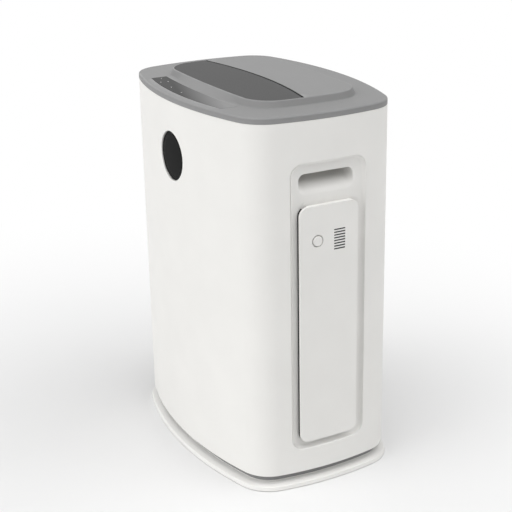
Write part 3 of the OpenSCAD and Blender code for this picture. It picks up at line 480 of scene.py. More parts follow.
class Draft:
    """Mesh in the making, in millimetres of the row frame."""

    FACE_INSET = 0.6
    BACK_EDGE = 0.4
    NOTCH_DEPTH = 1.6
    WORN_AREA = 60.0
    WORN_BEND = 10.0
    MERGE = 0.002
    SHARP = 38.0

    def __init__(self) -> None:
        """Start an empty mesh."""
        self.bm = bmesh.new()

    def loft(self, rows: Rows, closed: bool = False) -> list[list[bmesh.types.BMVert]]:
        """Extrude a first row of points from row to row.

        Args:
            rows: rows with the same number of points.
            closed: True if each row is a ring.

        Returns:
            The vertices of each row.
        """
        verts = [self.bm.verts.new(p) for p in rows[0]]
        pairs = list(zip(verts, verts[1:]))
        if closed:
            pairs.append((verts[-1], verts[0]))
        edges = [self.bm.edges.new(p) for p in pairs]
        made = [verts]
        for row in rows[1:]:
            order = {vert: i for i, vert in enumerate(made[-1])}
            geom = bmesh.ops.extrude_edge_only(self.bm, edges=edges)["geom"]
            edges = [g for g in geom if isinstance(g, bmesh.types.BMEdge)]
            placed: dict[int, bmesh.types.BMVert] = {}
            for vert in (g for g in geom if isinstance(g, bmesh.types.BMVert)):
                old = next(e.other_vert(vert) for e in vert.link_edges if e.other_vert(vert) in order)
                placed[order[old]] = vert
            for i, vert in placed.items():
                vert.co = row[i]
            made.append([placed[i] for i in range(len(row))])
        return made

    def ring(self, points: Sequence[Vector]) -> list[bmesh.types.BMEdge]:
        """Add a closed ring of edges through points."""
        verts = [self.bm.verts.new(p) for p in points]
        return [self.bm.edges.new((verts[i - 1], verts[i])) for i in range(len(verts))]

    def fill(self, loops: Rows, normal: Vector) -> None:
        """Fill the flat area between an outer loop and the loops of its holes, facing along a normal."""
        edges = [edge for loop in loops for edge in self.ring(loop)]
        bmesh.ops.triangle_fill(self.bm, use_beauty=True, edges=edges, normal=normal)

    def face(
        self, facing: Facing, at: float, outer: Sequence[Flat], ports: Sequence[Port] = (),
        holes: Sequence[Sequence[Flat]] = (),
    ) -> None:
        """Fill a flat face with holes.

        Args:
            facing: way the face looks.
            at: its coordinate along that axis.
            outer: its outline.
            ports: its holes.
            holes: outlines of holes of another shape.
        """
        loops = [outer, *holes, *(port.loop(port.edge) for port in ports)]
        self.fill([facing.row(loop, at) for loop in loops], facing.normal)

    def walls(
        self, facing: Facing, at: float, ports: Sequence[Port], depth: float, floor: bool = False
    ) -> None:
        """Add the walls of holes in a flat face.

        Args:
            facing: way the face looks.
            at: its coordinate along that axis.
            ports: the holes.
            depth: how deep they are.
            floor: True if they are closed at the bottom.
        """
        for port in ports:
            rings = convex_edge(port.edge, 3) + [(0.0, depth)]
            rows = [facing.row(port.loop(grow), at - facing.sign * sink) for grow, sink in rings]
            self.loft(rows, closed=True)
            if floor:
                self.fill([rows[-1]], facing.normal)

    def plate(
        self, facing: Facing, at: float, thick: float, size: tuple[float, float, float], centre: Flat,
        ports: Sequence[Port], edge: float = 0.8, notches: Sequence[Port] = (),
    ) -> None:
        """Add a plate with round corners, a rounded front edge and holes.

        Args:
            facing: way its front looks.
            at: coordinate of its front.
            thick: its thickness.
            size: width, height and corner radius.
            centre: middle of the plate.
            ports: holes right through it.
            edge: radius of the front edge.
            notches: blind holes in its back.
        """
        w, h, r = size

        def outline(grow: float) -> list[Flat]:
            """Outline of the plate, moved outwards by a growth."""
            return rounded_loop(w + 2 * grow, h + 2 * grow, r + grow, centre)

        front = outline(-edge - self.FACE_INSET)
        rings = [(-edge - self.FACE_INSET, 0.0)] + [(-g, d) for g, d in convex_edge(edge, 5)]
        rings += [(0.0, thick - self.BACK_EDGE), (-self.BACK_EDGE, thick)]
        self.loft([facing.row(outline(g), at - facing.sign * d) for g, d in rings], closed=True)
        self.face(facing, at, front, ports)
        self.walls(facing, at, ports, thick)
        back = at - facing.sign * thick
        flat = [replace(port, edge=0.0) for port in (*ports, *notches)]
        self.face(facing, back, outline(-self.BACK_EDGE), flat)
        self.walls(facing, back, flat[len(ports):], -self.NOTCH_DEPTH, floor=True)

    def spin(self, profile: Sequence[Flat], axis: int, centre: Vector, steps: int = 48) -> None:
        """Turn a profile into a round piece.

        Args:
            profile: pairs of radius and coordinate along the axis.
            axis: index of the axis.
            centre: point on the axis; its own coordinate along the axis isn't used.
            steps: facets round the axis.
        """
        along, side = (Vector(Matrix.Identity(3)[i % 3]) for i in (axis, axis + 1))
        base = centre - along * centre.dot(along)
        verts = [self.bm.verts.new(base + side * r + along * h) for r, h in profile]
        edges = [self.bm.edges.new(p) for p in zip(verts, verts[1:])]
        bmesh.ops.spin(
            self.bm, geom=verts + edges, cent=base, axis=along, angle=2 * math.pi, steps=steps,
            use_merge=True,
        )

    def prism(self, loop: Sequence[Vector], along: Vector, bevel: float, steps: int = 2) -> None:
        """Extrude a flat outline and round all its edges.

        Args:
            loop: outline of the first end.
            along: way and length of the extrusion.
            bevel: radius of the edges.
            steps: facets of each edge.
        """
        face = bmesh.ops.edgeloop_fill(self.bm, edges=self.ring(loop))["faces"][0]
        geom = bmesh.ops.extrude_face_region(self.bm, geom=[face], use_keep_orig=True)["geom"]
        moved = [g for g in geom if isinstance(g, bmesh.types.BMVert)]
        bmesh.ops.translate(self.bm, verts=moved, vec=along)
        ends = [face] + [g for g in geom if isinstance(g, bmesh.types.BMFace)]
        edges = {edge for end in ends for edge in end.edges}
        bmesh.ops.bevel(
            self.bm, geom=list(edges), offset=bevel, offset_type="OFFSET", affect="EDGES", segments=steps,
            profile=0.5, material=-1, clamp_overlap=True,
        )

    def block(self, low: Sequence[float], high: Sequence[float], bevel: float) -> None:
        """Add a block with rounded edges.

        Args:
            low: lowest corner.
            high: highest corner.
            bevel: radius of the edges.
        """
        corners = ((low[0], low[1]), (high[0], low[1]), (high[0], high[1]), (low[0], high[1]))
        self.prism(Facing.TOP.row(corners, low[2]), UP * (high[2] - low[2]), bevel)

    def mark_wear(self) -> None:
        """Mark the rounded outer edges, which hands and cloths polish, in a vertex attribute."""
        layer = self.bm.verts.layers.float.new("wear")
        for vert in self.bm.verts:
            widest = max((face.calc_area() for face in vert.link_faces), default=0.0)
            bend = max((edge.calc_face_angle_signed(0.0) for edge in vert.link_edges), default=0.0)
            if widest < self.WORN_AREA:
                vert[layer] = limit(math.degrees(bend) / self.WORN_BEND - 1.0)

    def done(
        self, name: str, finish: Finish, nodes: Sequence[str] = (), body: Body = Body.CABINET,
        wall: float = 0.0, looks: Vector | None = None,
    ) -> bpy.types.Object:
        """Turn the draft into a piece of the object.

        Args:
            name: name of the piece.
            finish: its finish.
            nodes: CAD nodes that it stands for.
            body: body that it rides on.
            wall: thickness given to an open skin, behind it.
            looks: way that an open skin faces, if that isn't simply outwards.

        Returns:
            The object.
        """
        bmesh.ops.remove_doubles(self.bm, verts=self.bm.verts, dist=self.MERGE)
        bmesh.ops.recalc_face_normals(self.bm, faces=self.bm.faces)
        if looks and sum(f.normal.dot(looks) * f.calc_area() for f in self.bm.faces) < 0:
            bmesh.ops.reverse_faces(self.bm, faces=self.bm.faces)
        self.mark_wear()
        bmesh.ops.scale(self.bm, vec=Vector((MM, MM, MM)), verts=self.bm.verts)
        for face in self.bm.faces:
            face.smooth = True
        mesh = bpy.data.meshes.new(name)
        self.bm.to_mesh(mesh)
        self.bm.free()
        mesh.set_sharp_from_angle(angle=math.radians(self.SHARP))
        piece = bpy.data.objects.new(name, mesh)
        bpy.context.scene.collection.objects.link(piece)
        mesh.materials.append(finish.material())
        if wall:
            skin = piece.modifiers.new("wall", "SOLIDIFY")
            skin.thickness = wall * MM
            skin.offset = -1.0
        even = piece.modifiers.new("even shading", "WEIGHTED_NORMAL")
        even.keep_sharp = True
        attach(piece, body.value)
        if nodes:
            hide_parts(*nodes)
        LOG.info("%s: %d faces", name, len(mesh.polygons))
        return piece


@dataclass(frozen=True)
class BowedPlan:
    """Plan outline with four bowed sides and round corners."""

    half_w: float
    half_d: float
    side_bow: float
    front_bow: float
    corner_r: float
    centre_y: float = 0.0

    @property
    def core(self) -> Flat:
        """Middle of the rear right corner's arc."""
        return (self.half_w - self.side_bow - self.corner_r, self.half_d - self.front_bow - self.corner_r)

    @property
    def front_r(self) -> float:
        """Radius of the front and rear arcs, less the corner radius."""
        return (self.core[0] ** 2 + self.front_bow ** 2) / (2 * self.front_bow)

    @property
    def side_r(self) -> float:
        """Radius of the side arcs, less the corner radius."""
        return (self.core[1] ** 2 + self.side_bow ** 2) / (2 * self.side_bow)

    @property
    def front_turn(self) -> float:
        """Half angle of the front arc."""
        return math.asin(self.core[0] / self.front_r)

    @property
    def side_turn(self) -> float:
        """Half angle of the side arc."""
        return math.asin(self.core[1] / self.side_r)

    @property
    def side_x(self) -> float:
        """Middle of the right side's arc, along X."""
        return self.core[0] + self.side_bow - self.side_r

    @property
    def rear_y(self) -> float:
        """Middle of the rear arc, along Y."""
        return self.core[1] + self.front_bow - self.front_r

    def ring(self, grow: float, z: float, cut: float = 0.0) -> list[Vector]:
        """Points round the outline, anticlockwise from the front end of the right side.

        Args:
            grow: how far the outline is moved outwards.
            z: height of the ring.
            cut: angle on the side arcs that gets a point of its own, at RIGHT_CUT and LEFT_CUT.

        Returns:
            152 points.
        """
        q = self.corner_r + grow
        cx, cy = self.core
        tf, ts, half = self.front_turn, self.side_turn, math.pi / 2
        side, front = self.side_r + q, self.front_r + q
        spans = (
            (self.side_x, 0.0, side, -ts, cut, 8), (self.side_x, 0.0, side, cut, ts, 8),
            (cx, cy, q, ts, half - tf, 12), (0.0, self.rear_y, front, half - tf, half + tf, 36),
            (-cx, cy, q, half + tf, math.pi - ts, 12),
            (-self.side_x, 0.0, side, math.pi - ts, math.pi - cut, 8),
            (-self.side_x, 0.0, side, math.pi - cut, math.pi + ts, 8),
            (-cx, -cy, q, math.pi + ts, 3 * half - tf, 12),
            (0.0, -self.rear_y, front, 3 * half - tf, 3 * half + tf, 36),
            (cx, -cy, q, 3 * half + tf, 4 * half - ts, 12),
        )
        points = []
        for x, y, r, a0, a1, n in spans:
            for i in range(n):
                t = a0 + (a1 - a0) * i / n
                points.append(Vector((x + r * math.cos(t), y + self.centre_y + r * math.sin(t), z)))
        return points

    def rings(self, profile: Sequence[Flat]) -> Rows:
        """Rings at the growths and heights of a profile."""
        return [self.ring(grow, z) for grow, z in profile]


RIGHT_CUT = 8
LEFT_CUT = 84
PLAN = BowedPlan(197.0, 135.0, 6.0, 21.0, 48.0)
DECK_PLAN = BowedPlan(147.0, 83.0, 1.5, 3.0, 42.0, 4.0)


@dataclass(frozen=True)
class SkinHole:
    """Opening in a bowed skin, and the rings that lead from the skin into it.

    Each ring is a growth of the outline, and a depth below the skin or, if it starts from the floor, a
    height above it.
    """

    facing: Facing
    u: float
    z: float
    w: float
    h: float
    r: float
    margin_u: float
    margin_z: float
    edge: float
    depth: float = 0.0
    floor: float | None = None
    foot: float = 0.01

    def rings(self) -> list[tuple[float, bool, float]]:
        """Rings from the skin inwards.

        Returns:
            Growth, whether it is measured from the floor, and the depth or height.
        """
        found = [(grow, False, sink) for grow, sink in convex_edge(self.edge)]
        if self.floor is None:
            return found + [(0.0, False, self.depth)]
        return found + [(-inset, True, rise) for inset, rise in round_over(self.foot, 4)]

    @staticmethod
    def marks(size: float, radius: float, margin: float) -> list[float]:
        """Places along one side of the block round the hole, close together where the corners are.

        Args:
            size: size of the hole along this side.
            radius: its corner radius.
            margin: width of the block beyond the hole.

        Returns:
            Places on both sides of the middle.
        """
        flat = size / 2 - radius
        mid = flat + radius * math.sin(math.pi / 4)
        count = max(1, math.ceil(flat / Skin.STEP))
        half = [flat * i / count for i in range(count)]
        half += [flat + radius * math.sin(t) for t in turn(5, 45.0)]
        scale = (size / 2 + margin) / mid
        return sorted({round(sign * scale * x, 5) for x in half for sign in (-1, 1)})

    def outline(self, u: float, v: float, on_level: bool, grow: float) -> Flat:
        """Point of the hole that belongs to a point on the block round it.

        Args:
            u: place on the block, from the hole's middle.
            v: height on the block, from the hole's middle.
            on_level: True on the block's lower and upper side.
            grow: how far the outline is moved outwards.

        Returns:
            The point, from the hole's middle.
        """
        r = self.r + grow
        sizes = (self.w / 2 + grow, self.h / 2 + grow)
        blocks = (self.w / 2 + self.margin_u, self.h / 2 + self.margin_z)
        along, across = (0, 1) if on_level else (1, 0)
        place = (u, v)
        flat = sizes[along] - r
        t = place[along] * (flat + r * math.sin(math.pi / 4)) / blocks[along]
        over = max(0.0, abs(t) - flat)
        far = math.copysign(sizes[across] - r + math.sqrt(max(0.0, r * r - over * over)), place[across])
        return (t, far) if on_level else (far, t)


class Skin:
    """Bowed cabinet wall, unrolled along its outline from the middle of the front."""

    STEP = 9.0
    BEND_STEP = 4.0
    CLOSE = 1.2
    TINY = 1e-3

    def __init__(self, plan: BowedPlan) -> None:
        """Work out where the front, the corner, the side and the rear of the outline end.

        Args:
            plan: outline of the wall.
        """
        self.plan = plan
        self.front_r = plan.front_r + plan.corner_r
        self.side_r = plan.side_r + plan.corner_r
        corner = plan.corner_r * (math.pi / 2 - plan.front_turn - plan.side_turn)
        self.s1 = self.front_r * plan.front_turn
        self.s2 = self.s1 + corner
        self.s3 = self.s2 + 2 * self.side_r * plan.side_turn
        self.s4 = self.s3 + corner
        self.s5 = self.s4 + self.s1

    def point(self, s: float, z: float, grow: float = 0.0) -> Vector:
        """Point on the wall.

        Args:
            s: distance along the outline from the middle of the front, to the right.
            z: height.
            grow: how far it lies outside the wall.

        Returns:
            The point in the row frame.
        """
        s = (s + self.s5) % (2 * self.s5) - self.s5
        hand = 1.0 if s >= 0 else -1.0
        s = abs(s)
        plan = self.plan
        cx, cy = plan.core
        corner, side, front = plan.corner_r, self.side_r, self.front_r
        # Angle from the front, then the middle and the radius of the arc
        if s <= self.s1:
            t, x, y, r = s / front, 0.0, -plan.rear_y, front
        elif s <= self.s2:
            t, x, y, r = plan.front_turn + (s - self.s1) / corner, cx, -cy, corner
        elif s <= self.s3:
            t, x, y, r = math.pi / 2 + (s - self.s2) / side - plan.side_turn, plan.side_x, 0.0, side
        elif s <= self.s4:
            t, x, y, r = math.pi / 2 + plan.side_turn + (s - self.s3) / corner, cx, cy, corner
        else:
            t, x, y, r = math.pi - (self.s5 - s) / front, 0.0, plan.rear_y, front
        return Vector((hand * (x + (r + grow) * math.sin(t)), y - (r + grow) * math.cos(t), z))

    def place(self, facing: Facing, u: float) -> float:
        """Distance along the outline of a place seen square on.

        Args:
            facing: side of the cabinet.
            u: X on the front or rear, Y on the sides.

        Returns:
            The distance.
        """
        if facing.axis == 0:
            return facing.sign * ((self.s2 + self.s3) / 2 + self.side_r * math.asin(u / self.side_r))
        plan = self.plan
        if abs(u) <= self.front_r * math.sin(plan.front_turn):
            s = self.front_r * math.asin(u / self.front_r)
        else:
            t = math.asin((abs(u) - plan.core[0]) / plan.corner_r)
            s = math.copysign(self.s1 + plan.corner_r * (t - plan.front_turn), u)
        return s if facing is Facing.FRONT else self.s5 - s

    def seam(self, y: float) -> float:
        """Distance along the outline of a seam across the rear corner, at a given Y."""
        plan = self.plan
        return self.s3 + plan.corner_r * (math.asin((y - plan.core[1]) / plan.corner_r) - plan.side_turn)

    def build(
        self, draft: Draft, columns: list[Flat], rows: list[Flat], holes: Sequence[SkinHole]
    ) -> list[list[Flat]]:
        """Build the wall with its openings.

        Args:
            draft: mesh that gets the wall.
            columns: distances along the outline with the growth of each.
            rows: heights with the growth of each.
            holes: openings.

        Returns:
            The flat outline of each opening's floor.
        """
        blocks = []
        for hole in holes:
            across = [self.place(hole.facing, hole.u + m) for m in hole.marks(hole.w, hole.r, hole.margin_u)]
            up = [hole.z + m for m in hole.marks(hole.h, hole.r, hole.margin_z)]
            blocks.append((min(across), max(across), up[0], up[-1], across, up))
        columns = self._merge(columns, [(b[0], b[1]) for b in blocks], [s for b in blocks for s in b[4]])
        rows = self._merge(rows, [], [z for b in blocks for z in b[5]])
        grid = draft.loft([[self.point(s, z, min(gs, gz)) for s, gs in columns] for z, gz in rows])
        place = {
            vert: (columns[i][0], rows[j][0])
            for j, row in enumerate(grid) for i, vert in enumerate(row)
        }
        gone = []
        for face in list(draft.bm.faces):
            spots = [place[vert] for vert in face.verts]
            s, z = (sum(coords) / len(spots) for coords in zip(*spots))
            if any(b[0] < s < b[1] and b[2] < z < b[3] for b in blocks):
                gone.append(face)
        bmesh.ops.delete(draft.bm, geom=gone, context="FACES")
        return [self._open(draft, hole, block, columns, rows) for hole, block in zip(holes, blocks)]

    def _merge(self, base: list[Flat], spans: list[Flat], extra: list[float]) -> list[Flat]:
        """Add places to a list, leaving out base places that lie in a span or close to an added one.

        Args:
            base: places with their growth, in order.
            spans: stretches that keep only the added places.
            extra: added places, with no growth.

        Returns:
            All places in order.
        """
        added = sorted({round(e, 4) for e in extra})
        middle = [(e, 0.0) for e in added]
        for place, grow in base:
            near = any(abs(place - e) < self.CLOSE for e in added)
            inside = any(low < place < high for low, high in spans)
            if grow >= 0 and not (near or inside):
                middle.append((place, grow))
        half = base[len(base) // 2][0]
        first = [p for p in base if p[1] < 0 and p[0] <= half]
        last = [p for p in base if p[1] < 0 and p[0] > half]
        return first + sorted(middle) + last

    def _open(
        self, draft: Draft, hole: SkinHole, block: tuple, columns: list[Flat], rows: list[Flat]
    ) -> list[Flat]:
        """Fill one block round a hole, and build the hole's walls.

        Args:
            draft: mesh that gets them.
            hole: the opening.
            block: limits of the block.
            columns: columns of the wall.
            rows: rows of the wall.

        Returns:
            The flat outline of the walls' inner end.
        """
        s0, s1, z0, z1 = block[:4]
        across = [s for s, grow in columns if s0 - self.TINY <= s <= s1 + self.TINY and grow == 0]
        up = [z for z, grow in rows if z0 - self.TINY <= z <= z1 + self.TINY and grow == 0]
        rim = [(s, z0, True) for s in across[:-1]] + [(s1, z, False) for z in up[:-1]]
        rim += [(s, z1, True) for s in reversed(across[1:])] + [(s0, z, False) for z in reversed(up[1:])]
        axis = hole.facing.axis
        other = 1 - axis
        flat = [(self.point(s, z)[other] - hole.u, z - hole.z, level) for s, z, level in rim]

        def on_skin(u: float, v: float) -> Vector:
            """Point on the wall, from the hole's middle."""
            return self.point(self.place(hole.facing, hole.u + u), hole.z + v)

        lofts: Rows = [[self.point(s, z) for s, z, _ in rim]]
        for share in (0.35, 0.7):
            row = []
            for u, v, level in flat:
                pu, pv = hole.outline(u, v, level, hole.edge)
                row.append(on_skin(u + (pu - u) * share, v + (pv - v) * share))
            lofts.append(row)
        for grow, from_floor, value in hole.rings():
            row = [on_skin(*hole.outline(u, v, level, grow)) for u, v, level in flat]
            for spot in row:
                base = hole.floor if from_floor else spot[axis]
                spot[axis] = base + hole.facing.sign * (value if from_floor else -value)
            lofts.append(row)
        draft.loft(lofts, closed=True)
        return [(p[other], p.z) for p in lofts[-1]]


@dataclass
class GripCup:
    """Finger grip in a side recess: a scooped floor, and a hook behind the upper lip."""

    hand: float
    recess_x: float = RECESS_X
    sheet: float = SHEET
    back_x: float = 153.5
    width: float = 82.0
    corner: float = 9.0
    scoop_run: float = 28.0
    scoop_rise: float = 21.0
    scoop_curve: float = 1.9
    z_low: float = 420.0
    z_slot: float = 449.0
    z_high: float = 468.0
    edge: float = 1.0
    lip_sink: float = 0.8
    lip_from: float = 20.0
    lip_to: float = 2.0

    def loop(self, grow: float, low: float, high: float) -> list[Flat]:
        """Outline of the grip between two heights, with its ends and its top moved outwards by a growth."""
        top = high + grow
        return rounded_loop(self.width + 2 * grow, top - low, self.corner + grow, (0.0, (low + top) / 2), 6)

    def mouth(self) -> list[Flat]:
        """Outline of the grip in the recess floor."""
        return self.loop(self.edge, self.z_low, self.z_slot)

    def carve(self, draft: Draft) -> None:
        """Add the grip to a recess floor.

        Args:
            draft: mesh of the shell.
        """
        rings = []
        steps = 12
        for share in (i / steps for i in range(steps + 1)):
            depth = self.scoop_run * share ** self.scoop_curve
            fall = max(0.0, self.edge - depth)
            grow = self.edge - math.sqrt(self.edge ** 2 - fall ** 2)
            low = self.z_low + self.scoop_rise * share
            behind = depth > self.sheet
            if behind and rings[-1][3] < self.z_high:
                # The hook opens upwards right behind the sheet
                rings.append((0.0, self.sheet, low - 0.6, self.z_slot))
                rings.append((0.0, self.sheet + 0.1, low - 0.5, self.z_high))
            rings.append((grow, depth, low, self.z_high if behind else self.z_slot))
        run = self.recess_x - self.scoop_run - self.back_x
        rise = self.z_slot - self.z_low - self.scoop_rise
        for t in turn(8)[1:]:
            low = self.z_low + self.scoop_rise + rise * (1 - math.cos(t))
            rings.append((0.0, self.scoop_run + run * math.sin(t), low, self.z_high))
        rows = []
        for grow, depth, low, high in rings:
            rows.append(Facing.RIGHT.row(self.loop(grow, low, high), self.hand * (self.recess_x - depth)))
        draft.loft(rows, closed=True)
        draft.fill([rows[-1]], Vector((self.hand, 0, 0)))
        self.sink_lip(draft)

    def sink_lip(self, draft: Draft) -> None:
        """Push the slot's upper lip in a little, so that the floor above it looks down.

        Args:
            draft: mesh of the shell, with the grip in it.
        """
        reach = 1.5
        for vert in draft.bm.verts:
            depth = self.recess_x - self.hand * vert.co.x
            near = abs(vert.co.y) < self.width / 2 + reach and vert.co.z < self.z_slot + reach
            if near and -0.1 < depth < self.sheet + 0.2:
                share = limit((vert.co.z - self.z_slot + self.lip_from) / (self.lip_from - self.lip_to))
                vert.co.x -= self.hand * self.lip_sink * share ** 2 * (3 - 2 * share)


@dataclass
class Cabinet:
    """Base plate, feet, front shell and rear cover."""

    z_drip: float = 0.7
    z_base: float = 2.0
    z_flange: float = 7.0
    z_plinth: float = 10.0
    z_low: float = 21.0
    z_high: float = 521.0
    seam_y: float = 100.0
    seam_gap: float = 0.3
    flange: float = 5.5
    drip: float = 0.8
    plinth_in: float = 9.4
    hollow_in: float = 16.3
    screw_x: float = 100.0
    screw_y: float = 114.75
    foot_x: float = 143.0
    foot_y: float = 75.0
    recess_x: float = RECESS_X
    sheet: float = SHEET
    mouth_z: float = PANEL_Z
    service_y: float = SERVICE_Y
    service_z: float = SERVICE_Z
    inlet_x: float = INLET_X
    rocker_x: float = ROCKER_X
    wall: float = 1.8

    def base_plate(self) -> None:
        """Build the base plate with its rounded flange and the plinth under the shadow gap."""
        draft = Draft()
        edge, top, under = self.flange, self.z_flange, self.flange - 2.0
        screws = [Port(x, y, 9.0, 9.0, 4.5, 0.3) for x, y in self.corners(self.screw_x, self.screw_y)]
        feet = [Port(x, y, 24.6, 24.6, 12.3, 0.3) for x, y in self.corners(self.foot_x, self.foot_y)]
        outline = [(p.x, p.y) for p in PLAN.ring(under, self.z_base)]
        draft.face(Facing.BOTTOM, self.z_base, outline, screws + feet)
        draft.walls(Facing.BOTTOM, self.z_base, screws, 4.0, floor=True)
        draft.walls(Facing.BOTTOM, self.z_base, feet, 1.0, floor=True)
        profile = [(under, self.z_base), (edge - 1.8, 0.9), (edge - 1.4, self.z_drip)]
        profile += [(edge - grow, self.z_drip + rise) for grow, rise in convex_edge(self.drip)]
        profile += [(edge - self.drip - inset, top - drop) for inset, drop in round_over(1.0, 4)]
        plinth, hollow = -self.plinth_in, -self.hollow_in
        profile += [(-7.0, top + 2.0), (-8.8, top + 2.6), (plinth, top + 4.0), (plinth, self.z_low)]
        profile += [(hollow, self.z_low), (hollow, self.z_plinth)]
        draft.loft(PLAN.rings(profile), closed=True)
        draft.fill([PLAN.ring(hollow, self.z_plinth)], UP)
        draft.done("base_plate_piece", WHITE, ["base_plate"])

    @staticmethod
    def corners(x: float, y: float) -> list[Flat]:
        """Four places, mirrored in both axes."""
        return [(sx * x, sy * y) for sx in (-1, 1) for sy in (-1, 1)]

    def gap_shade_ring(self) -> None:
        """Build the grey coved ring under the shell's edge: painted shade that darkens the gap there."""
        draft = Draft()
        cove = [(-0.9 - 7.4 * math.sin(t), self.z_low - 7.9 + 7.8 * math.cos(t)) for t in turn(8)]
        draft.loft(PLAN.rings([*cove, (-8.3, self.z_flange + 4.2)]), closed=True)
        draft.done("base_trim_piece", GREY, wall=0.7)

    def feet(self) -> None:
        """Build the four feet, with a hollow sole and a rounded rim."""
        draft = Draft()
        sole = [(0, 0.5), (9.0, 0.5), (9.6, 0.0), (11.2, 0.0)]
        rim = [(11.8, 0.3), (12.0, 0.9), (12.0, 3.0), (0, 3.0)]
        for x, y in self.corners(self.foot_x, self.foot_y):
            draft.spin(sole + rim, 2, Vector((x, y, 0)), 40)
        draft.done("feet_piece", RUBBER, ["rubber_feet"])

    def _rows(self) -> list[Flat]:
        """Heights of the wall, with its turned-in lower flange and its rounded upper edge.

        Returns:
            The heights with their growth.
        """
        low, high = self.z_low, self.z_high
        rows = [(low, -13.0), (low, -0.6), (low + 0.15, -0.15), (low + 0.6, 0.0)]
        rows += [(low + 0.6 + (high - low - 1.2) * i / 30, 0.0) for i in range(1, 31)]
        return rows + [(high - 0.15, -0.15), (high, -0.6), (high, -4.0)]

    @staticmethod
    def _columns(skin: Skin, first: float, last: float) -> list[Flat]:
        """Distances along the wall between two seams, with turned-in edges.

        Args:
            skin: the wall.
            first: seam where it starts.
            last: seam where it ends.

        Returns:
            The distances with their growth.
        """
        places = []
        s = first + 0.6
        while s < last - 4.5:
            places.append((s, 0.0))
            t = abs((s + skin.s5) % (2 * skin.s5) - skin.s5)
            bend = skin.s1 - 4 < t < skin.s2 or skin.s3 - 4 < t < skin.s4
            s += Skin.BEND_STEP if bend else Skin.STEP
        edge = ((0.0, -3.0), (0.0, -0.6), (0.2, -0.15))
        start = [(first + d, g) for d, g in edge]
        end = [(last - d, g) for d, g in reversed(edge)]
        return start + places + [(last - 0.6, 0.0)] + end

    def shell(self) -> None:
        """Build the front shell with its side recesses and the hole of the front window."""
        skin = Skin(PLAN)
        draft = Draft()
        seam = skin.seam(self.seam_y)
        sides = [
            SkinHole(
                f, 1.0, 260.5, 113.0, 409.0, 17.0, 8.0, 8.0, 1.6, floor=f.sign * self.recess_x, foot=5.4
            )
            for f in (Facing.RIGHT, Facing.LEFT)
        ]
        window = SkinHole(Facing.FRONT, 0.0, 444.0, 69.6, 69.6, 34.8, 7.0, 7.0, 0.8, depth=6.0)
        floors = skin.build(draft, self._columns(skin, -seam, seam), self._rows(), [*sides, window])
        mouth = Port(0.0, self.mouth_z, *MOUTH, 0.8)
        vents = [Port(0.0, 106.0 + 22.0 * i, 60.0, 10.0, 4.0, 0.5) for i in range(12)]
        for hole, outline, ports in zip(sides, floors, ([mouth], vents)):
            grip = GripCup(hole.facing.sign)
            draft.face(hole.facing, hole.floor, outline, ports, [grip.mouth()])
            draft.walls(hole.facing, hole.floor, ports, self.sheet)
            grip.carve(draft)
        nodes = ["front_shell", "recess_floors", "right_grip_cup", "left_grip_cup"]
        draft.done("front_shell_piece", WHITE, nodes, wall=self.wall)

    def rear(self) -> None:
        """Build the rear cover with its vents, screw wells and service recess."""
        skin = Skin(PLAN)
        draft = Draft()
        seam = skin.seam(self.seam_y + self.seam_gap)
        back, z = Facing.REAR, self.service_z
        service = SkinHole(back, 0.0, z, 150.0, 52.0, 8.0, 7.0, 7.0, 1.6, floor=self.service_y, foot=1.6)
        vents = [
            SkinHole(back, 0.0, 126.0 + 9.0 * i, 140.0, 4.0, 1.9, 6.0, 2.5, 0.5, depth=3.0)
            for i in range(9)
        ]
        wells = [
            SkinHole(back, x, high, 8.0, 8.0, 3.99, 4.0, 4.0, 0.6, floor=104.0)
            for x in (-152.0, 152.0) for high in (81.0, 271.0, 461.0)
        ]
        columns = self._columns(skin, seam, 2 * skin.s5 - seam)
        floors = skin.build(draft, columns, self._rows(), [service, *wells, *vents])
        ports = [Port(self.inlet_x, z, 28.6, 20.6, 2.0, 0.2), Port(self.rocker_x, z, 24.6, 32.6, 2.0, 0.2)]
        draft.walls(back, self.service_y, ports, self.sheet)
        for hole, outline in zip([service, *wells], floors):
            draft.face(back, hole.floor, outline, ports if hole is service else ())
        draft.done("rear_cover_piece", WHITE, ["rear_cover"], wall=self.wall)

    def build(self) -> None:
        """Build the whole cabinet."""
        for step in (self.base_plate, self.gap_shade_ring, self.feet, self.shell, self.rear):
            step()


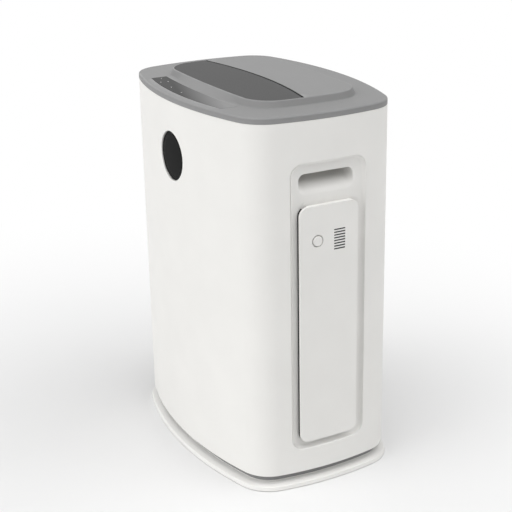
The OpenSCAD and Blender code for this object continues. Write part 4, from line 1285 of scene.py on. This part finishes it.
@dataclass
class TopDeck:
    """Grey top cover with its raised deck, the hinged lid, the touch strip and the tub under the lid."""

    z_low: float = 521.0
    z_rim: float = 529.5
    z_top: float = 538.5
    z_ledge: float = 533.7
    z_under: float = 530.2
    rim_r: float = 2.4
    seam_r: float = 677.4
    seam_cy: float = -668.9
    seam_steps: int = 48
    lid_t: float = 4.5
    lid_gap: float = 3.2
    edge_in: float = 0.7
    ledge_in: float = 7.0
    ledge_y: float = -16.0
    tray_z: float = 512.2
    tray_r: float = 4.0
    well_z: float = 342.2
    apron_r: float = 450.0
    apron_cy: float = 357.7
    apron_in: float = 14.8
    apron_half: float = 136.0
    apron_fade: float = 22.0
    strip_half: float = 111.0
    strip_r: float = 533.38
    strip_cy: float = 410.38
    strip_d: float = 23.0
    strip_bow: float = 5.0
    strip_t: float = 2.2
    strip_proud: float = 0.2
    pocket_gap: float = 0.35
    pocket_d: float = 2.0

    def seam_cut(self, grow: float, gap: float) -> float:
        """Angle on the deck's side arc where it meets the seam.

        Args:
            grow: how far the deck's outline is moved outwards.
            gap: how far the seam is moved to the front.

        Returns:
            The angle.
        """
        low, high = -DECK_PLAN.side_turn, DECK_PLAN.side_turn
        r = DECK_PLAN.side_r + DECK_PLAN.corner_r + grow
        for _ in range(50):
            mid = (low + high) / 2
            x = DECK_PLAN.side_x + r * math.cos(mid)
            y = DECK_PLAN.centre_y + r * math.sin(mid)
            if math.hypot(x, y - self.seam_cy) < self.seam_r - gap:
                low = mid
            else:
                high = mid
        return low

    def seam_arc(self, end: Vector, gap: float, z: float) -> list[Vector]:
        """Points on the seam, from its right end to its left end.

        Args:
            end: right end.
            gap: how far the middle is moved to the front.
            z: height.

        Returns:
            The points, ends included.
        """
        a0 = math.atan2(end.y - self.seam_cy, end.x)
        r0 = math.hypot(end.x, end.y - self.seam_cy)
        points = []
        for i in range(self.seam_steps + 1):
            t = a0 + (math.pi - 2 * a0) * i / self.seam_steps
            share = min(1.0, i / 2, (self.seam_steps - i) / 2)
            r = r0 + (self.seam_r - gap - r0) * share
            points.append(Vector((r * math.cos(t), self.seam_cy + r * math.sin(t), z)))
        return points

    def lens(self, grow: float, gap: float, z: float) -> list[Vector]:
        """Outline of the deck in front of the seam.

        Args:
            grow: how far the deck's outline is moved outwards.
            gap: how far the seam is moved to the front.
            z: height.

        Returns:
            The points, anticlockwise.
        """
        ring = DECK_PLAN.ring(grow, z, self.seam_cut(grow, gap))
        front = ring[LEFT_CUT:] + ring[:RIGHT_CUT + 1]
        return front + self.seam_arc(front[-1], gap, z)[1:-1]

    def strip(self, grow: float, z: float) -> list[Vector]:
        """Outline of the touch strip between two arcs.

        Args:
            grow: how far it is widened.
            z: height.

        Returns:
            The points.
        """
        half, r0, bow, steps = self.strip_half + grow, self.strip_r + grow, self.strip_bow, 24
        y1 = self.strip_cy - math.sqrt(r0 * r0 - half * half) + self.strip_d + 2 * grow
        r1 = (half * half + bow * bow) / (2 * bow)
        points = []
        for cy, r, way in ((self.strip_cy, r0, -1), (y1 - bow + r1, r1, 1)):
            end = way * math.asin(half / r)
            for i in range(steps + 1):
                t = end - 2 * end * i / steps
                points.append(Vector((r * math.sin(t), cy - r * math.cos(t), z)))
        return points

    def apron(self, ring: list[Vector]) -> list[Vector]:
        """Move the front of a ring out to the sloped apron in front of the deck.

        Args:
            ring: points round the deck at one height.

        Returns:
            The points, with those inside the apron moved out to it.
        """
        z = ring[0].z
        reach = self.apron_r - self.apron_in * (z - self.z_rim) / (self.z_top - self.z_rim)
        moved = []
        for p in ring:
            front = self.apron_cy - math.sqrt(reach ** 2 - p.x ** 2)
            share = limit((self.apron_half - abs(p.x)) / self.apron_fade)
            if p.y >= DECK_PLAN.centre_y:
                share = 0.0
            moved.append(Vector((p.x, p.y + share * min(0.0, front - p.y), z)))
        return moved

    def cover(self) -> None:
        """Build the grey cover: rounded rim, apron and foot of the deck, deck edge, ledge and rear deck."""
        draft = Draft()
        low, top = self.z_low, self.z_top
        cut = self.seam_cut(-self.edge_in, 0.0)
        rim = [(-4.0, low), (-0.6, low), (-0.15, low + 0.15), (0.0, low + 0.6)]
        rim += [(-inset, self.z_rim - drop) for inset, drop in round_over(self.rim_r, 5)]
        draft.loft(PLAN.rings(rim), closed=True)
        foot = [(7.0, 0.0), (6.0, 0.12), (5.1, 0.5), (4.5, 1.1), (1.25, 7.5), (0.75, 8.4), (0.3, 8.85)]
        foot += [(-0.2, 9.0), (-self.edge_in, 9.0)]
        steps = [self.apron(DECK_PLAN.ring(g, self.z_rim + z, cut)) for g, z in foot]
        draft.loft(steps, closed=True)
        mouth = self.strip(self.pocket_gap, self.z_rim)
        floor = self.strip(self.pocket_gap, self.z_rim - self.pocket_d)
        draft.fill([PLAN.ring(-self.rim_r, self.z_rim), steps[0], mouth], UP)
        draft.loft([mouth, floor], closed=True)
        draft.fill([floor], UP)
        edge = steps[-1]
        drops = ((-0.4, 0.0), (-0.12, 0.12), (0.0, 0.4), (0.0, top - self.z_under))
        seam = [self.seam_arc(edge[RIGHT_CUT], gap, top - drop) for gap, drop in drops]
        draft.fill([edge[RIGHT_CUT:LEFT_CUT + 1] + seam[0][-2:0:-1]], UP)
        draft.loft(seam)
        rows = []
        for ring, sunk in ((edge, False), (edge, True), (DECK_PLAN.ring(-self.ledge_in, top, cut), True)):
            row = [p.copy() for p in ring[LEFT_CUT:] + ring[:RIGHT_CUT + 1]]
            for p in row:
                if sunk:
                    p.z = self.z_ledge if p.y < self.ledge_y else self.z_under + 1.0
            rows.append(row)
        rows.append([Vector((p.x, p.y, self.z_under)) for p in rows[-1]])
        draft.loft(rows)
        draft.done("top_cover_piece", GREY, ["top_cover"], wall=1.6)

    def lid(self) -> None:
        """Build the dark lid with rounded edges and a framed underside."""
        draft = Draft()
        low = self.z_top - self.lid_t
        rings = [(8.2, low + 1.6), (7.4, low + 1.6), (6.8, low + 1.2), (6.6, low)]
        rings += [(0.4, low), (0.0, low + 0.4)]
        rings += [(inset, self.z_top - drop) for inset, drop in round_over(0.4, 4)]
        rows = [self.lens(-1.1 - d, self.lid_gap + d, z) for d, z in rings]
        draft.loft(rows, closed=True)
        draft.fill([rows[0]], -UP)
        draft.fill([rows[-1]], UP)
        draft.done("top_lid_piece", DARK, ["top_lid"], Body.LID)

    def seam_shade_strip(self) -> None:
        """Build the rubber line along the seam behind the lid: painted shade in the seam's gap."""
        draft = Draft()
        grow = -1.2
        end = DECK_PLAN.ring(grow, self.z_top, self.seam_cut(grow, 0.0))[RIGHT_CUT]
        drops = ((0.0, 5.0), (1.9, 5.0), (2.0, 4.9), (2.0, 0.25), (1.8, 0.1), (0.0, 0.1))
        draft.loft([self.seam_arc(end, gap, self.z_top - drop) for gap, drop in drops])
        draft.done("lid_seal_piece", RUBBER)

    def touch_strip(self) -> None:
        """Build the glossy strip and its few printed dots."""
        draft = Draft()
        face = self.z_rim + self.strip_proud
        draft.prism(self.strip(0.0, face), -UP * self.strip_t, 0.25, 3)
        draft.done("touch_strip_piece", PANEL, ["control_panel"])
        dots = Draft()
        for x, y in ((-101.4, -100.3), (-76.9, -100.9), (-78.2, -111.5), (-40.2, -112.4), (-2.7, -114.3)):
            dots.spin([(0, face + 0.06), (0.8, face + 0.06), (0.9, face)], 2, Vector((x, y, 0)), 16)
        dots.done("strip_dots_piece", PRINT)

    def tub(self) -> None:
        """Build the tray and the bottle well under the lid."""
        draft = Draft()
        rings = [(0.0, self.z_under)] + [(a, self.tray_z + b) for a, b in round_over(self.tray_r, 5)]
        draft.loft([self.lens(-self.ledge_in - d, d, z) for d, z in rings], closed=True)
        well = Port(0.0, -23.0, 184.0, 50.0, 5.0, 1.5)
        outline = [(p.x, p.y) for p in self.lens(-self.ledge_in - self.tray_r, self.tray_r, 0.0)]
        draft.face(Facing.TOP, self.tray_z, outline, [well])
        draft.walls(Facing.TOP, self.tray_z, [well], self.tray_z - self.well_z, floor=True)
        draft.done("bay_tub_piece", GREY, ["bay_tub", "tray_wall"], wall=1.6, looks=UP)

    def build(self) -> None:
        """Build the whole top."""
        for step in (self.cover, self.lid, self.seam_shade_strip, self.touch_strip, self.tub):
            step()


@dataclass
class Humidifier:
    """Bottle, cap and outlet nozzle in the well."""

    x: float = -50.0
    y: float = -23.0
    z: float = 342.2
    radius: float = 23.5
    height: float = 140.0
    cap_h: float = 15.0
    flutes: int = 36
    barbs: int = 3

    @property
    def spot(self) -> Vector:
        """Point on the bottle's axis."""
        return Vector((self.x, self.y, 0))

    @property
    def z_cap(self) -> float:
        """Height of the cap's lower edge."""
        return self.z + self.height + 2

    def bottle(self) -> None:
        """Build the clear bottle with its inner wall."""
        draft = Draft()
        r, z, top = self.radius, self.z, self.z + self.height
        outer = [(0, z), (r - 3, z), (r - 0.9, z + 0.9), (r, z + 3), (r, top - 14), (r - 1.2, top - 10.5)]
        neck = [(r - 6, top - 6), (r - 6, top + 12), (r - 8, top + 12), (r - 8, top - 7)]
        inner = [(r - 3, top - 12), (r - 2, top - 15), (r - 2, z + 4), (r - 4, z + 2), (0, z + 2)]
        draft.spin(outer + neck + inner, 2, self.spot, 64)
        draft.done("humidifier_bottle_piece", CLEAR, ["humidifier_bottle"])

    def cap(self) -> None:
        """Build the fluted cap."""
        draft = Draft()
        steps = 4 * self.flutes
        top = self.cap_h
        profile = [(-3.6, 0.0), (-0.4, 0.0), (0.0, 0.5), (0.0, 13.6), (-0.5, 14.6)]
        profile += [(-1.6, top), (-17.0, top)]
        rows = []
        for grow, rise in profile:
            row = []
            for t in (2 * math.pi * i / steps for i in range(steps)):
                fluted = grow > -0.6 and 0.4 < rise < 14
                r = self.radius - 2 + grow - (0.35 * (1 + math.cos(self.flutes * t)) if fluted else 0.0)
                row.append(Vector((self.x + r * math.cos(t), self.y + r * math.sin(t), self.z_cap + rise)))
            rows.append(row)
        draft.loft(rows, closed=True)
        draft.done("bottle_cap_piece", WHITE, ["bottle_cap"], wall=1.4)

    def nozzle(self) -> None:
        """Build the barbed outlet nozzle."""
        draft = Draft()
        n = self.z_cap + self.cap_h
        shape = [(4.1, n - 4), (4.1, n), (6.4, n), (7.0, n + 0.5), (7.0, n + 1.5), (6.4, n + 2)]
        shape += [(3.1, n + 2), (2.6, n + 3)]
        for foot in (n + 4.5 + 3.6 * k for k in range(self.barbs)):
            shape += [(2.6, foot), (3.1, foot + 0.2), (3.1, foot + 0.7), (2.6, foot + 3.2)]
        shape += [(2.3, n + 16), (1.5, n + 16), (1.5, n - 4), (4.1, n - 4)]
        draft.spin(shape, 2, self.spot, 32)
        draft.done("outlet_nozzle_piece", WHITE, ["outlet_nozzle"])

    def build(self) -> None:
        """Build the three pieces."""
        for step in (self.bottle, self.cap, self.nozzle):
            step()


@dataclass
class FrontWindow:
    """Round black window on the front."""

    z: float = 444.0
    radius: float = 34.5
    face_y: float = -132.4

    def build(self) -> None:
        """Build the window: polished lens, fine groove and border."""
        draft = Draft()
        y, r = self.face_y, self.radius
        lens = [(0, y - 0.25), (12, y - 0.22), (24, y - 0.12), (30.4, y)]
        groove = [(30.8, y + 0.25), (31.2, y + 0.25), (31.6, y)]
        border = [(r - 0.8, y), (r - 0.25, y + 0.2), (r, y + 0.8)]
        back = [(r, y + 9), (r - 2, y + 9), (r - 2, y + 3), (0, y + 3)]
        draft.spin(lens + groove + border + back, 1, Vector((0, 0, self.z)), 96)
        draft.done("display_window_piece", GLOSS, ["display_window"])


@dataclass
class SidePanel:
    """Flat panel that stands in front of the floor of a side recess."""

    x: float = 197.0
    thick: float = 4.0
    z: float = PANEL_Z
    width: float = 89.0
    height: float = 341.0
    corner: float = 13.0
    recess_x: float = RECESS_X

    @property
    def size(self) -> tuple[float, float, float]:
        """Width, height and corner radius."""
        return (self.width, self.height, self.corner)


@dataclass
class FilterDoor(SidePanel):
    """Hinged side door with its button and grille, and the filter behind it."""

    edge: float = 0.5
    button_y: float = -17.4
    button_z: float = 358.0
    hinge_x: float = 191.4
    hinge_y: float = 42.0
    hinge_z: Flat = (106.0, 347.0)
    bracket_h: float = 8.0
    slot_y: float = 16.0
    slot_z: float = 356.0
    slot_pitch: float = 3.84
    slot_count: int = 8
    tray_x: float = 184.0
    shade_strip_out: float = 12.6
    shade_strip_in: float = 9.6
    bay_x: float = 185.5
    pad_w: float = 60.8
    pad_h: float = 307.8

    @property
    def back(self) -> float:
        """Coordinate of the door's back."""
        return self.x - self.thick

    @property
    def spot(self) -> Vector:
        """Point on the button's axis."""
        return Vector((0, self.button_y, self.button_z))

    @property
    def slots(self) -> list[float]:
        """Heights of the grille's slots."""
        middle = (self.slot_count - 1) / 2
        return [self.slot_z + self.slot_pitch * (i - middle) for i in range(self.slot_count)]

    def frame(self, w: float, h: float, r: float, x: float) -> list[Vector]:
        """Rounded rectangle about the door's middle, square to X."""
        return Facing.RIGHT.row(rounded_loop(w, h, r, (0.0, self.z)), x)

    def door(self) -> None:
        """Build the door: plate with holes, tray wall, button boss, shelf and hinge knuckles."""
        draft = Draft()
        slots = [Port(self.slot_y, z, 17.4, 2.0, 0.9, 0.15) for z in self.slots]
        hole = Port(self.button_y, self.button_z, 16.4, 16.4, 8.2, 1.2)
        notches = [Port(41.3, z + self.bracket_h / 2, 5.4, 9.0, 0.5) for z in self.hinge_z]
        middle, holes = (0.0, self.z), [hole, *slots]
        draft.plate(Facing.RIGHT, self.x, self.thick, self.size, middle, holes, self.edge, notches)
        back, tray, soft = self.back, self.tray_x, self.tray_x + 0.4
        wall = [(66.0, 311.0, 5.0, back), (66.0, 311.0, 5.0, soft), (65.2, 310.2, 4.6, tray)]
        wall += [(62.0, 307.0, 3.4, tray), (61.2, 306.2, 3.0, soft), (61.2, 306.2, 3.0, back)]
        draft.loft([self.frame(*ring) for ring in wall], closed=True)
        draft.spin([(0.0, tray - 0.5), (11.7, tray - 0.5), (12.2, tray), (12.2, back)], 0, self.spot)
        draft.spin([(10.2, back), (10.2, tray + 1.0), (0.0, tray + 1.0)], 0, self.spot)
        draft.block((188.8, -31.5, 404.4), (back + 0.4, 36.0, 406.6), 0.3)
        r = 2.6
        for z in (low + self.bracket_h + 0.3 for low in self.hinge_z):
            loop = [
                (self.hinge_x - r * math.sin(t), self.hinge_y + r * math.cos(t))
                for t in turn(12, 180.0)
            ]
            loop += [(back + 0.4, self.hinge_y - r), (back + 0.4, self.hinge_y + 2.2)]
            draft.prism(Facing.TOP.row(loop, z), UP * self.bracket_h, 0.25)
        draft.done("side_door_piece", WHITE, ["side_door"], Body.DOOR)

    def brackets(self) -> None:
        """Build the two hinge brackets, with feet cut away where the open door's edge passes."""
        draft = Draft()
        r = 2.5
        loop = [(self.recess_x, self.hinge_y - r)]
        loop += [(self.hinge_x + r * math.sin(t), self.hinge_y - r * math.cos(t)) for t in turn(12, 180.0)]
        loop += [(self.recess_x + 1.5, self.hinge_y + 1.9), (self.recess_x, self.hinge_y + 1.1)]
        for z in self.hinge_z:
            draft.prism(Facing.TOP.row(loop, z), UP * self.bracket_h, 0.2)
        draft.done("door_hinge_brackets_piece", WHITE, ["door_hinge_brackets"])

    def shade_strip(self) -> None:
        """Build the dark strip under the door's front and lower edge: painted shade in the gap under the
        door.
        """
        draft = Draft()
        y = self.corner - self.width / 2
        low, high = self.z - self.height / 2 + self.corner, self.z + self.height / 2 - self.corner
        sides = []
        for r in (self.shade_strip_out, self.shade_strip_in):
            side = [(y - r * math.cos(t), high + r * math.sin(t)) for t in reversed(turn(5, 55.0))]
            side += [(y - r * math.cos(t), low - r * math.sin(t)) for t in turn(8)]
            sides.append([*side, (30.0, low - r)])
        path = sides[0] + sides[1][::-1]
        draft.prism(Facing.RIGHT.row(path, 189.3), Vector((3.9, 0, 0)), 0.3)
        draft.done("door_shade_strip_piece", RUBBER, body=Body.DOOR)

    def screen(self) -> None:
        """Build the dark screen, with a tongue that fills each slot to just below the door's face as painted
        shade.
        """
        draft = Draft()
        low, high = (Vector(corner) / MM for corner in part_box("intake_screen"))
        draft.block(low, high, 0.4)
        # The tongues are painted shade: dark nylon where the slots would only be in shade
        for z in self.slots:
            near = (high.x - 0.4, self.slot_y - 8.5, z - 0.9)
            draft.block(near, (self.x - 0.5, self.slot_y + 8.5, z + 0.9), 0.2)
        draft.done("intake_screen_piece", NYLON, ["intake_screen"], Body.DOOR)

    def button(self) -> None:
        """Build the push button with its dished face and ring groove."""
        draft = Draft()
        f = self.x + 0.6
        dish = [(0, f - 0.55), (2.5, f - 0.5), (4.4, f - 0.2), (4.8, f - 0.1)]
        groove = [(5.1, f - 0.35), (5.4, f - 0.35), (5.7, f - 0.05), (6.1, f)]
        rim = [(6.6, f - 0.2), (6.9, f - 0.7)]
        stem = [(6.9, 192.7), (9.9, 192.7), (9.9, 191.2), (3.0, 191.2), (3.0, 187.7), (0, 187.7)]
        draft.spin(dish + groove + rim + stem, 0, self.spot, 64)
        draft.done("latch_button_piece", WHITE, ["latch_button"], Body.BUTTON)

    def bay(self) -> None:
        """Build the filter bay behind the mouth."""
        draft = Draft()
        mouth = Port(0.0, self.z, *MOUTH, 0.0)
        draft.walls(Facing.RIGHT, self.bay_x, [mouth], 32.5, floor=True)
        draft.done("filter_bay_piece", WHITE, ["filter_bay"], wall=1.6, looks=Vector((1, 0, 0)))

    def foam(self) -> None:
        """Build the foam pad, crowned towards the door."""
        draft = Draft()
        rings = [(-1.5, 155.7), (0.0, 157.0), (0.0, 168.6), (-0.6, 170.2), (-2.0, 171.0)]
        rings += [(-6.0, 171.6), (-14.0, 172.0)]
        rows = [self.frame(self.pad_w + 2 * g, self.pad_h + 2 * g, max(1.0, 3.0 + g), x) for g, x in rings]
        draft.loft(rows, closed=True)
        draft.fill([rows[0]], Vector((-1, 0, 0)))
        draft.fill([rows[-1]], Vector((1, 0, 0)))
        piece = draft.done("filter_foam_piece", FOAM, ["filter_foam"])

    def build(self) -> None:
        """Build the door and what belongs to it."""
        for step in (self.door, self.brackets, self.shade_strip, self.screen, self.button, self.bay, self.foam):
            step()


@dataclass
class VentPanel(SidePanel):
    """Slotted panel in the left recess."""

    slot_count: int = 24

    def build(self) -> None:
        """Build the panel and its four standoffs."""
        draft = Draft()
        slots = [Port(0.0, 98.0 + 12.0 * i, 56.0, 4.0, 1.9, 0.4) for i in range(self.slot_count)]
        draft.plate(Facing.LEFT, -self.x, self.thick, self.size, (0.0, self.z), slots)
        post = [(5.0, self.thick - self.x - 0.2), (5.0, -self.recess_x), (0.0, -self.recess_x)]
        for y in (-35.0, 35.0):
            for z in (81.0, 392.0):
                draft.spin(post, 0, Vector((0, y, z)), 24)
        draft.done("left_vent_panel_piece", WHITE, ["left_vent_panel"])


@dataclass
class RearService:
    """Mains inlet and rocker switch in the rear recess."""

    floor_y: float = SERVICE_Y
    z: float = SERVICE_Z
    inlet_x: float = INLET_X
    rocker_x: float = ROCKER_X
    rocker_y: float = 120.0
    rocker_w: float = 19.0
    rocker_rest: float = -7.0

    def fitting(self, hole: Port, size: tuple[float, float, float], proud: float, depth: float) -> Draft:
        """Start a fitting: a flange on the recess floor round a blind hole.

        Args:
            hole: its hole.
            size: width, height and corner radius of the flange.
            proud: thickness of the flange.
            depth: how deep the hole goes below the floor.

        Returns:
            The mesh.
        """
        draft = Draft()
        draft.plate(Facing.REAR, self.floor_y + proud, proud, size, (hole.u, hole.v), [hole])
        draft.walls(Facing.REAR, self.floor_y, [replace(hole, edge=0.0)], depth, floor=True)
        return draft

    def build(self) -> None:
        """Build the inlet with its three pins, the rocker's frame and the rocker."""
        inlet = self.fitting(Port(self.inlet_x, self.z, 24.4, 16.8, 2.0, 0.5), (50.0, 28.0, 3.0), 2.5, 15.0)
        for du, dv in ((-7.0, -2.0), (0.0, 2.0), (7.0, -2.0)):
            x, z = self.inlet_x + du, self.z + dv
            inlet.block((x - 1, 108.6, z - 2), (x + 1, self.floor_y, z + 2), 0.4)
        inlet.done("power_inlet_piece", NYLON, ["power_inlet"])
        frame = self.fitting(Port(self.rocker_x, self.z, 20.0, 28.0, 1.0, 0.5), (29.0, 37.0, 3.0), 2.0, 18.0)
        frame.done("rocker_frame_piece", NYLON, ["rocker_frame"])
        rocker = Draft()
        tilt = Matrix.Rotation(math.radians(self.rocker_rest), 4, "X")
        shape = [(-7.0, -5.0), (5.0, -12.8), (8.0, -12.8), (6.2, -4.0), (5.6, 0.0), (6.2, 4.0), (8.0, 12.8)]
        shape += [(5.0, 12.8), (-7.0, 5.0)]
        pivot = Vector((self.rocker_x - self.rocker_w / 2, self.rocker_y, self.z))
        loop = [pivot + tilt @ Vector((0, y, z)) for y, z in shape]
        rocker.prism(loop, Vector((self.rocker_w, 0, 0)), 0.6, 3)
        rocker.done("rocker_piece", NYLON, ["rocker_switch"], Body.ROCKER)


class Studio:
    """White studio: paper floor, soft lamps on all sides and the photo's camera, in metres."""

    EYE = Vector((1.4855, -0.7827, 0.8923))
    TARGET = Vector((0.0575, -0.0363, 0.2968))
    LENS = 85.5
    SENSOR = 36.0
    ROLL = math.radians(-1.122)
    FILL = 0.15
    FLOOR_HALF = 30.0
    SHADE = (-0.03, -0.18, 0.0)
    SHADE_FROM = 0.22
    SHADE_TO = 1.1
    LAMPS = (
        ("front low lamp", (0.0, -1.0, 0.2), 1.28, 50.0), ("front high lamp", (0.0, -1.0, 1.7), 1.1, 50.0),
        ("overhead lamp", (0.47, 0.15, 0.87), 1.46, 60.0), ("rear lamp", (0.3, 1.0, 1.0), 0.5, 50.0),
        ("left lamp", (-1.0, 0.0, 0.6), 0.28, 50.0),
    )

    def camera(self) -> None:
        """Place the camera at the photo's angle."""
        data = bpy.data.cameras.new("camera")
        data.lens = self.LENS
        data.sensor_width = self.SENSOR
        data.clip_start = 0.05
        data.clip_end = 60.0
        camera = bpy.data.objects.new("camera", data)
        back = (self.EYE - self.TARGET).normalized()
        side = UP.cross(back).normalized()
        up = back.cross(side)
        turned = Matrix((side, up, back)).transposed().to_4x4() @ Matrix.Rotation(self.ROLL, 4, "Z")
        camera.matrix_world = Matrix.Translation(self.EYE) @ turned
        bpy.context.scene.collection.objects.link(camera)
        bpy.context.scene.camera = camera

    @staticmethod
    def seen(tree: Tree) -> Socket:
        """Tell rays that look at the background from rays that light the object.

        Args:
            tree: tree that gets the nodes.

        Returns:
            A socket that is 1 for camera, glossy and transmission rays.
        """
        ray = add_node(tree, "LightPath").outputs
        socket = ray["Is Camera Ray"]
        for name in ("Is Glossy Ray", "Is Transmission Ray"):
            socket = add_node(tree, "Math", {0: socket, 1: ray[name]}, operation="MAXIMUM").outputs[0]
        return socket

    def floor(self) -> None:
        """Lay the paper floor, which turns to plain white away from the object."""
        bm = bmesh.new()
        bmesh.ops.create_grid(bm, x_segments=8, y_segments=8, size=self.FLOOR_HALF)
        mesh = bpy.data.meshes.new("floor")
        bm.to_mesh(mesh)
        bm.free()
        floor = bpy.data.objects.new("floor", mesh)
        bpy.context.scene.collection.objects.link(floor)
        paper = PAPER.material()
        tree = paper.node_tree
        place = add_node(tree, "TexCoord").outputs["Object"]
        away = add_node(tree, "VectorMath", {0: place, 1: self.SHADE}, operation="DISTANCE").outputs["Value"]
        ends = {"From_Min": self.SHADE_FROM, "From_Max": self.SHADE_TO}
        far = add_node(tree, "MapRange", {"Value": away}, interpolation_type="SMOOTHSTEP", **ends)
        share = add_node(tree, "Math", {0: far.outputs["Result"], 1: self.seen(tree)}, operation="MULTIPLY")
        glow = add_node(tree, "Emission", Strength=1.0)
        plain = tree.nodes["Principled BSDF"].outputs["BSDF"]
        mixed = add_node(tree, "MixShader", {0: share.outputs[0], 1: plain, 2: glow.outputs["Emission"]})
        tree.links.new(mixed.outputs["Shader"], tree.nodes["Material Output"].inputs["Surface"])
        mesh.materials.append(paper)

    def light(self) -> None:
        """Set the soft lamps, and a world that fills a little and looks white."""
        world = bpy.data.worlds.new("studio")
        world.use_nodes = True
        tree = world.node_tree
        strength = add_node(tree, "MapRange", {"Value": self.seen(tree)}, To_Min=self.FILL, To_Max=1.0)
        sky = tree.nodes["Background"]
        sky.inputs["Color"].default_value = (1.0, 1.0, 1.0, 1.0)
        tree.links.new(strength.outputs["Result"], sky.inputs["Strength"])
        bpy.context.scene.world = world
        for name, way, power, spread in self.LAMPS:
            data = bpy.data.lights.new(name, "SUN")
            data.energy = power
            data.angle = math.radians(spread)
            lamp = bpy.data.objects.new(name, data)
            lamp.rotation_euler = Vector(way).to_track_quat("Z", "Y").to_euler()
            bpy.context.scene.collection.objects.link(lamp)

    def build(self) -> None:
        """Set up the whole studio.

        The colours show about as they are written, without a film curve.
        """
        bpy.context.scene.view_settings.view_transform = "Standard"
        self.camera()
        self.floor()
        self.light()


def dress_frame(frame: dict) -> None:
    """Give each CAD node the finish of its slot.
    """
    for part in frame["record"]["subparts"]:
        node = frame["nodes"].get(part["node"])
        if node is None:
            continue
        node.data.materials.clear()
        node.data.materials.append(SLOT_FINISH[part["material_slot"]].material())


def main() -> None:
    """Build the object and its studio."""
    logging.basicConfig(level=logging.INFO, format="%(name)s: %(message)s")
    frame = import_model()
    dress_frame(frame)
    pieces = (Cabinet(), TopDeck(), Humidifier(), FrontWindow(), FilterDoor(), VentPanel(), RearService())
    for part in (*pieces, Studio()):
        part.build()


if __name__ == "__main__":
    main()
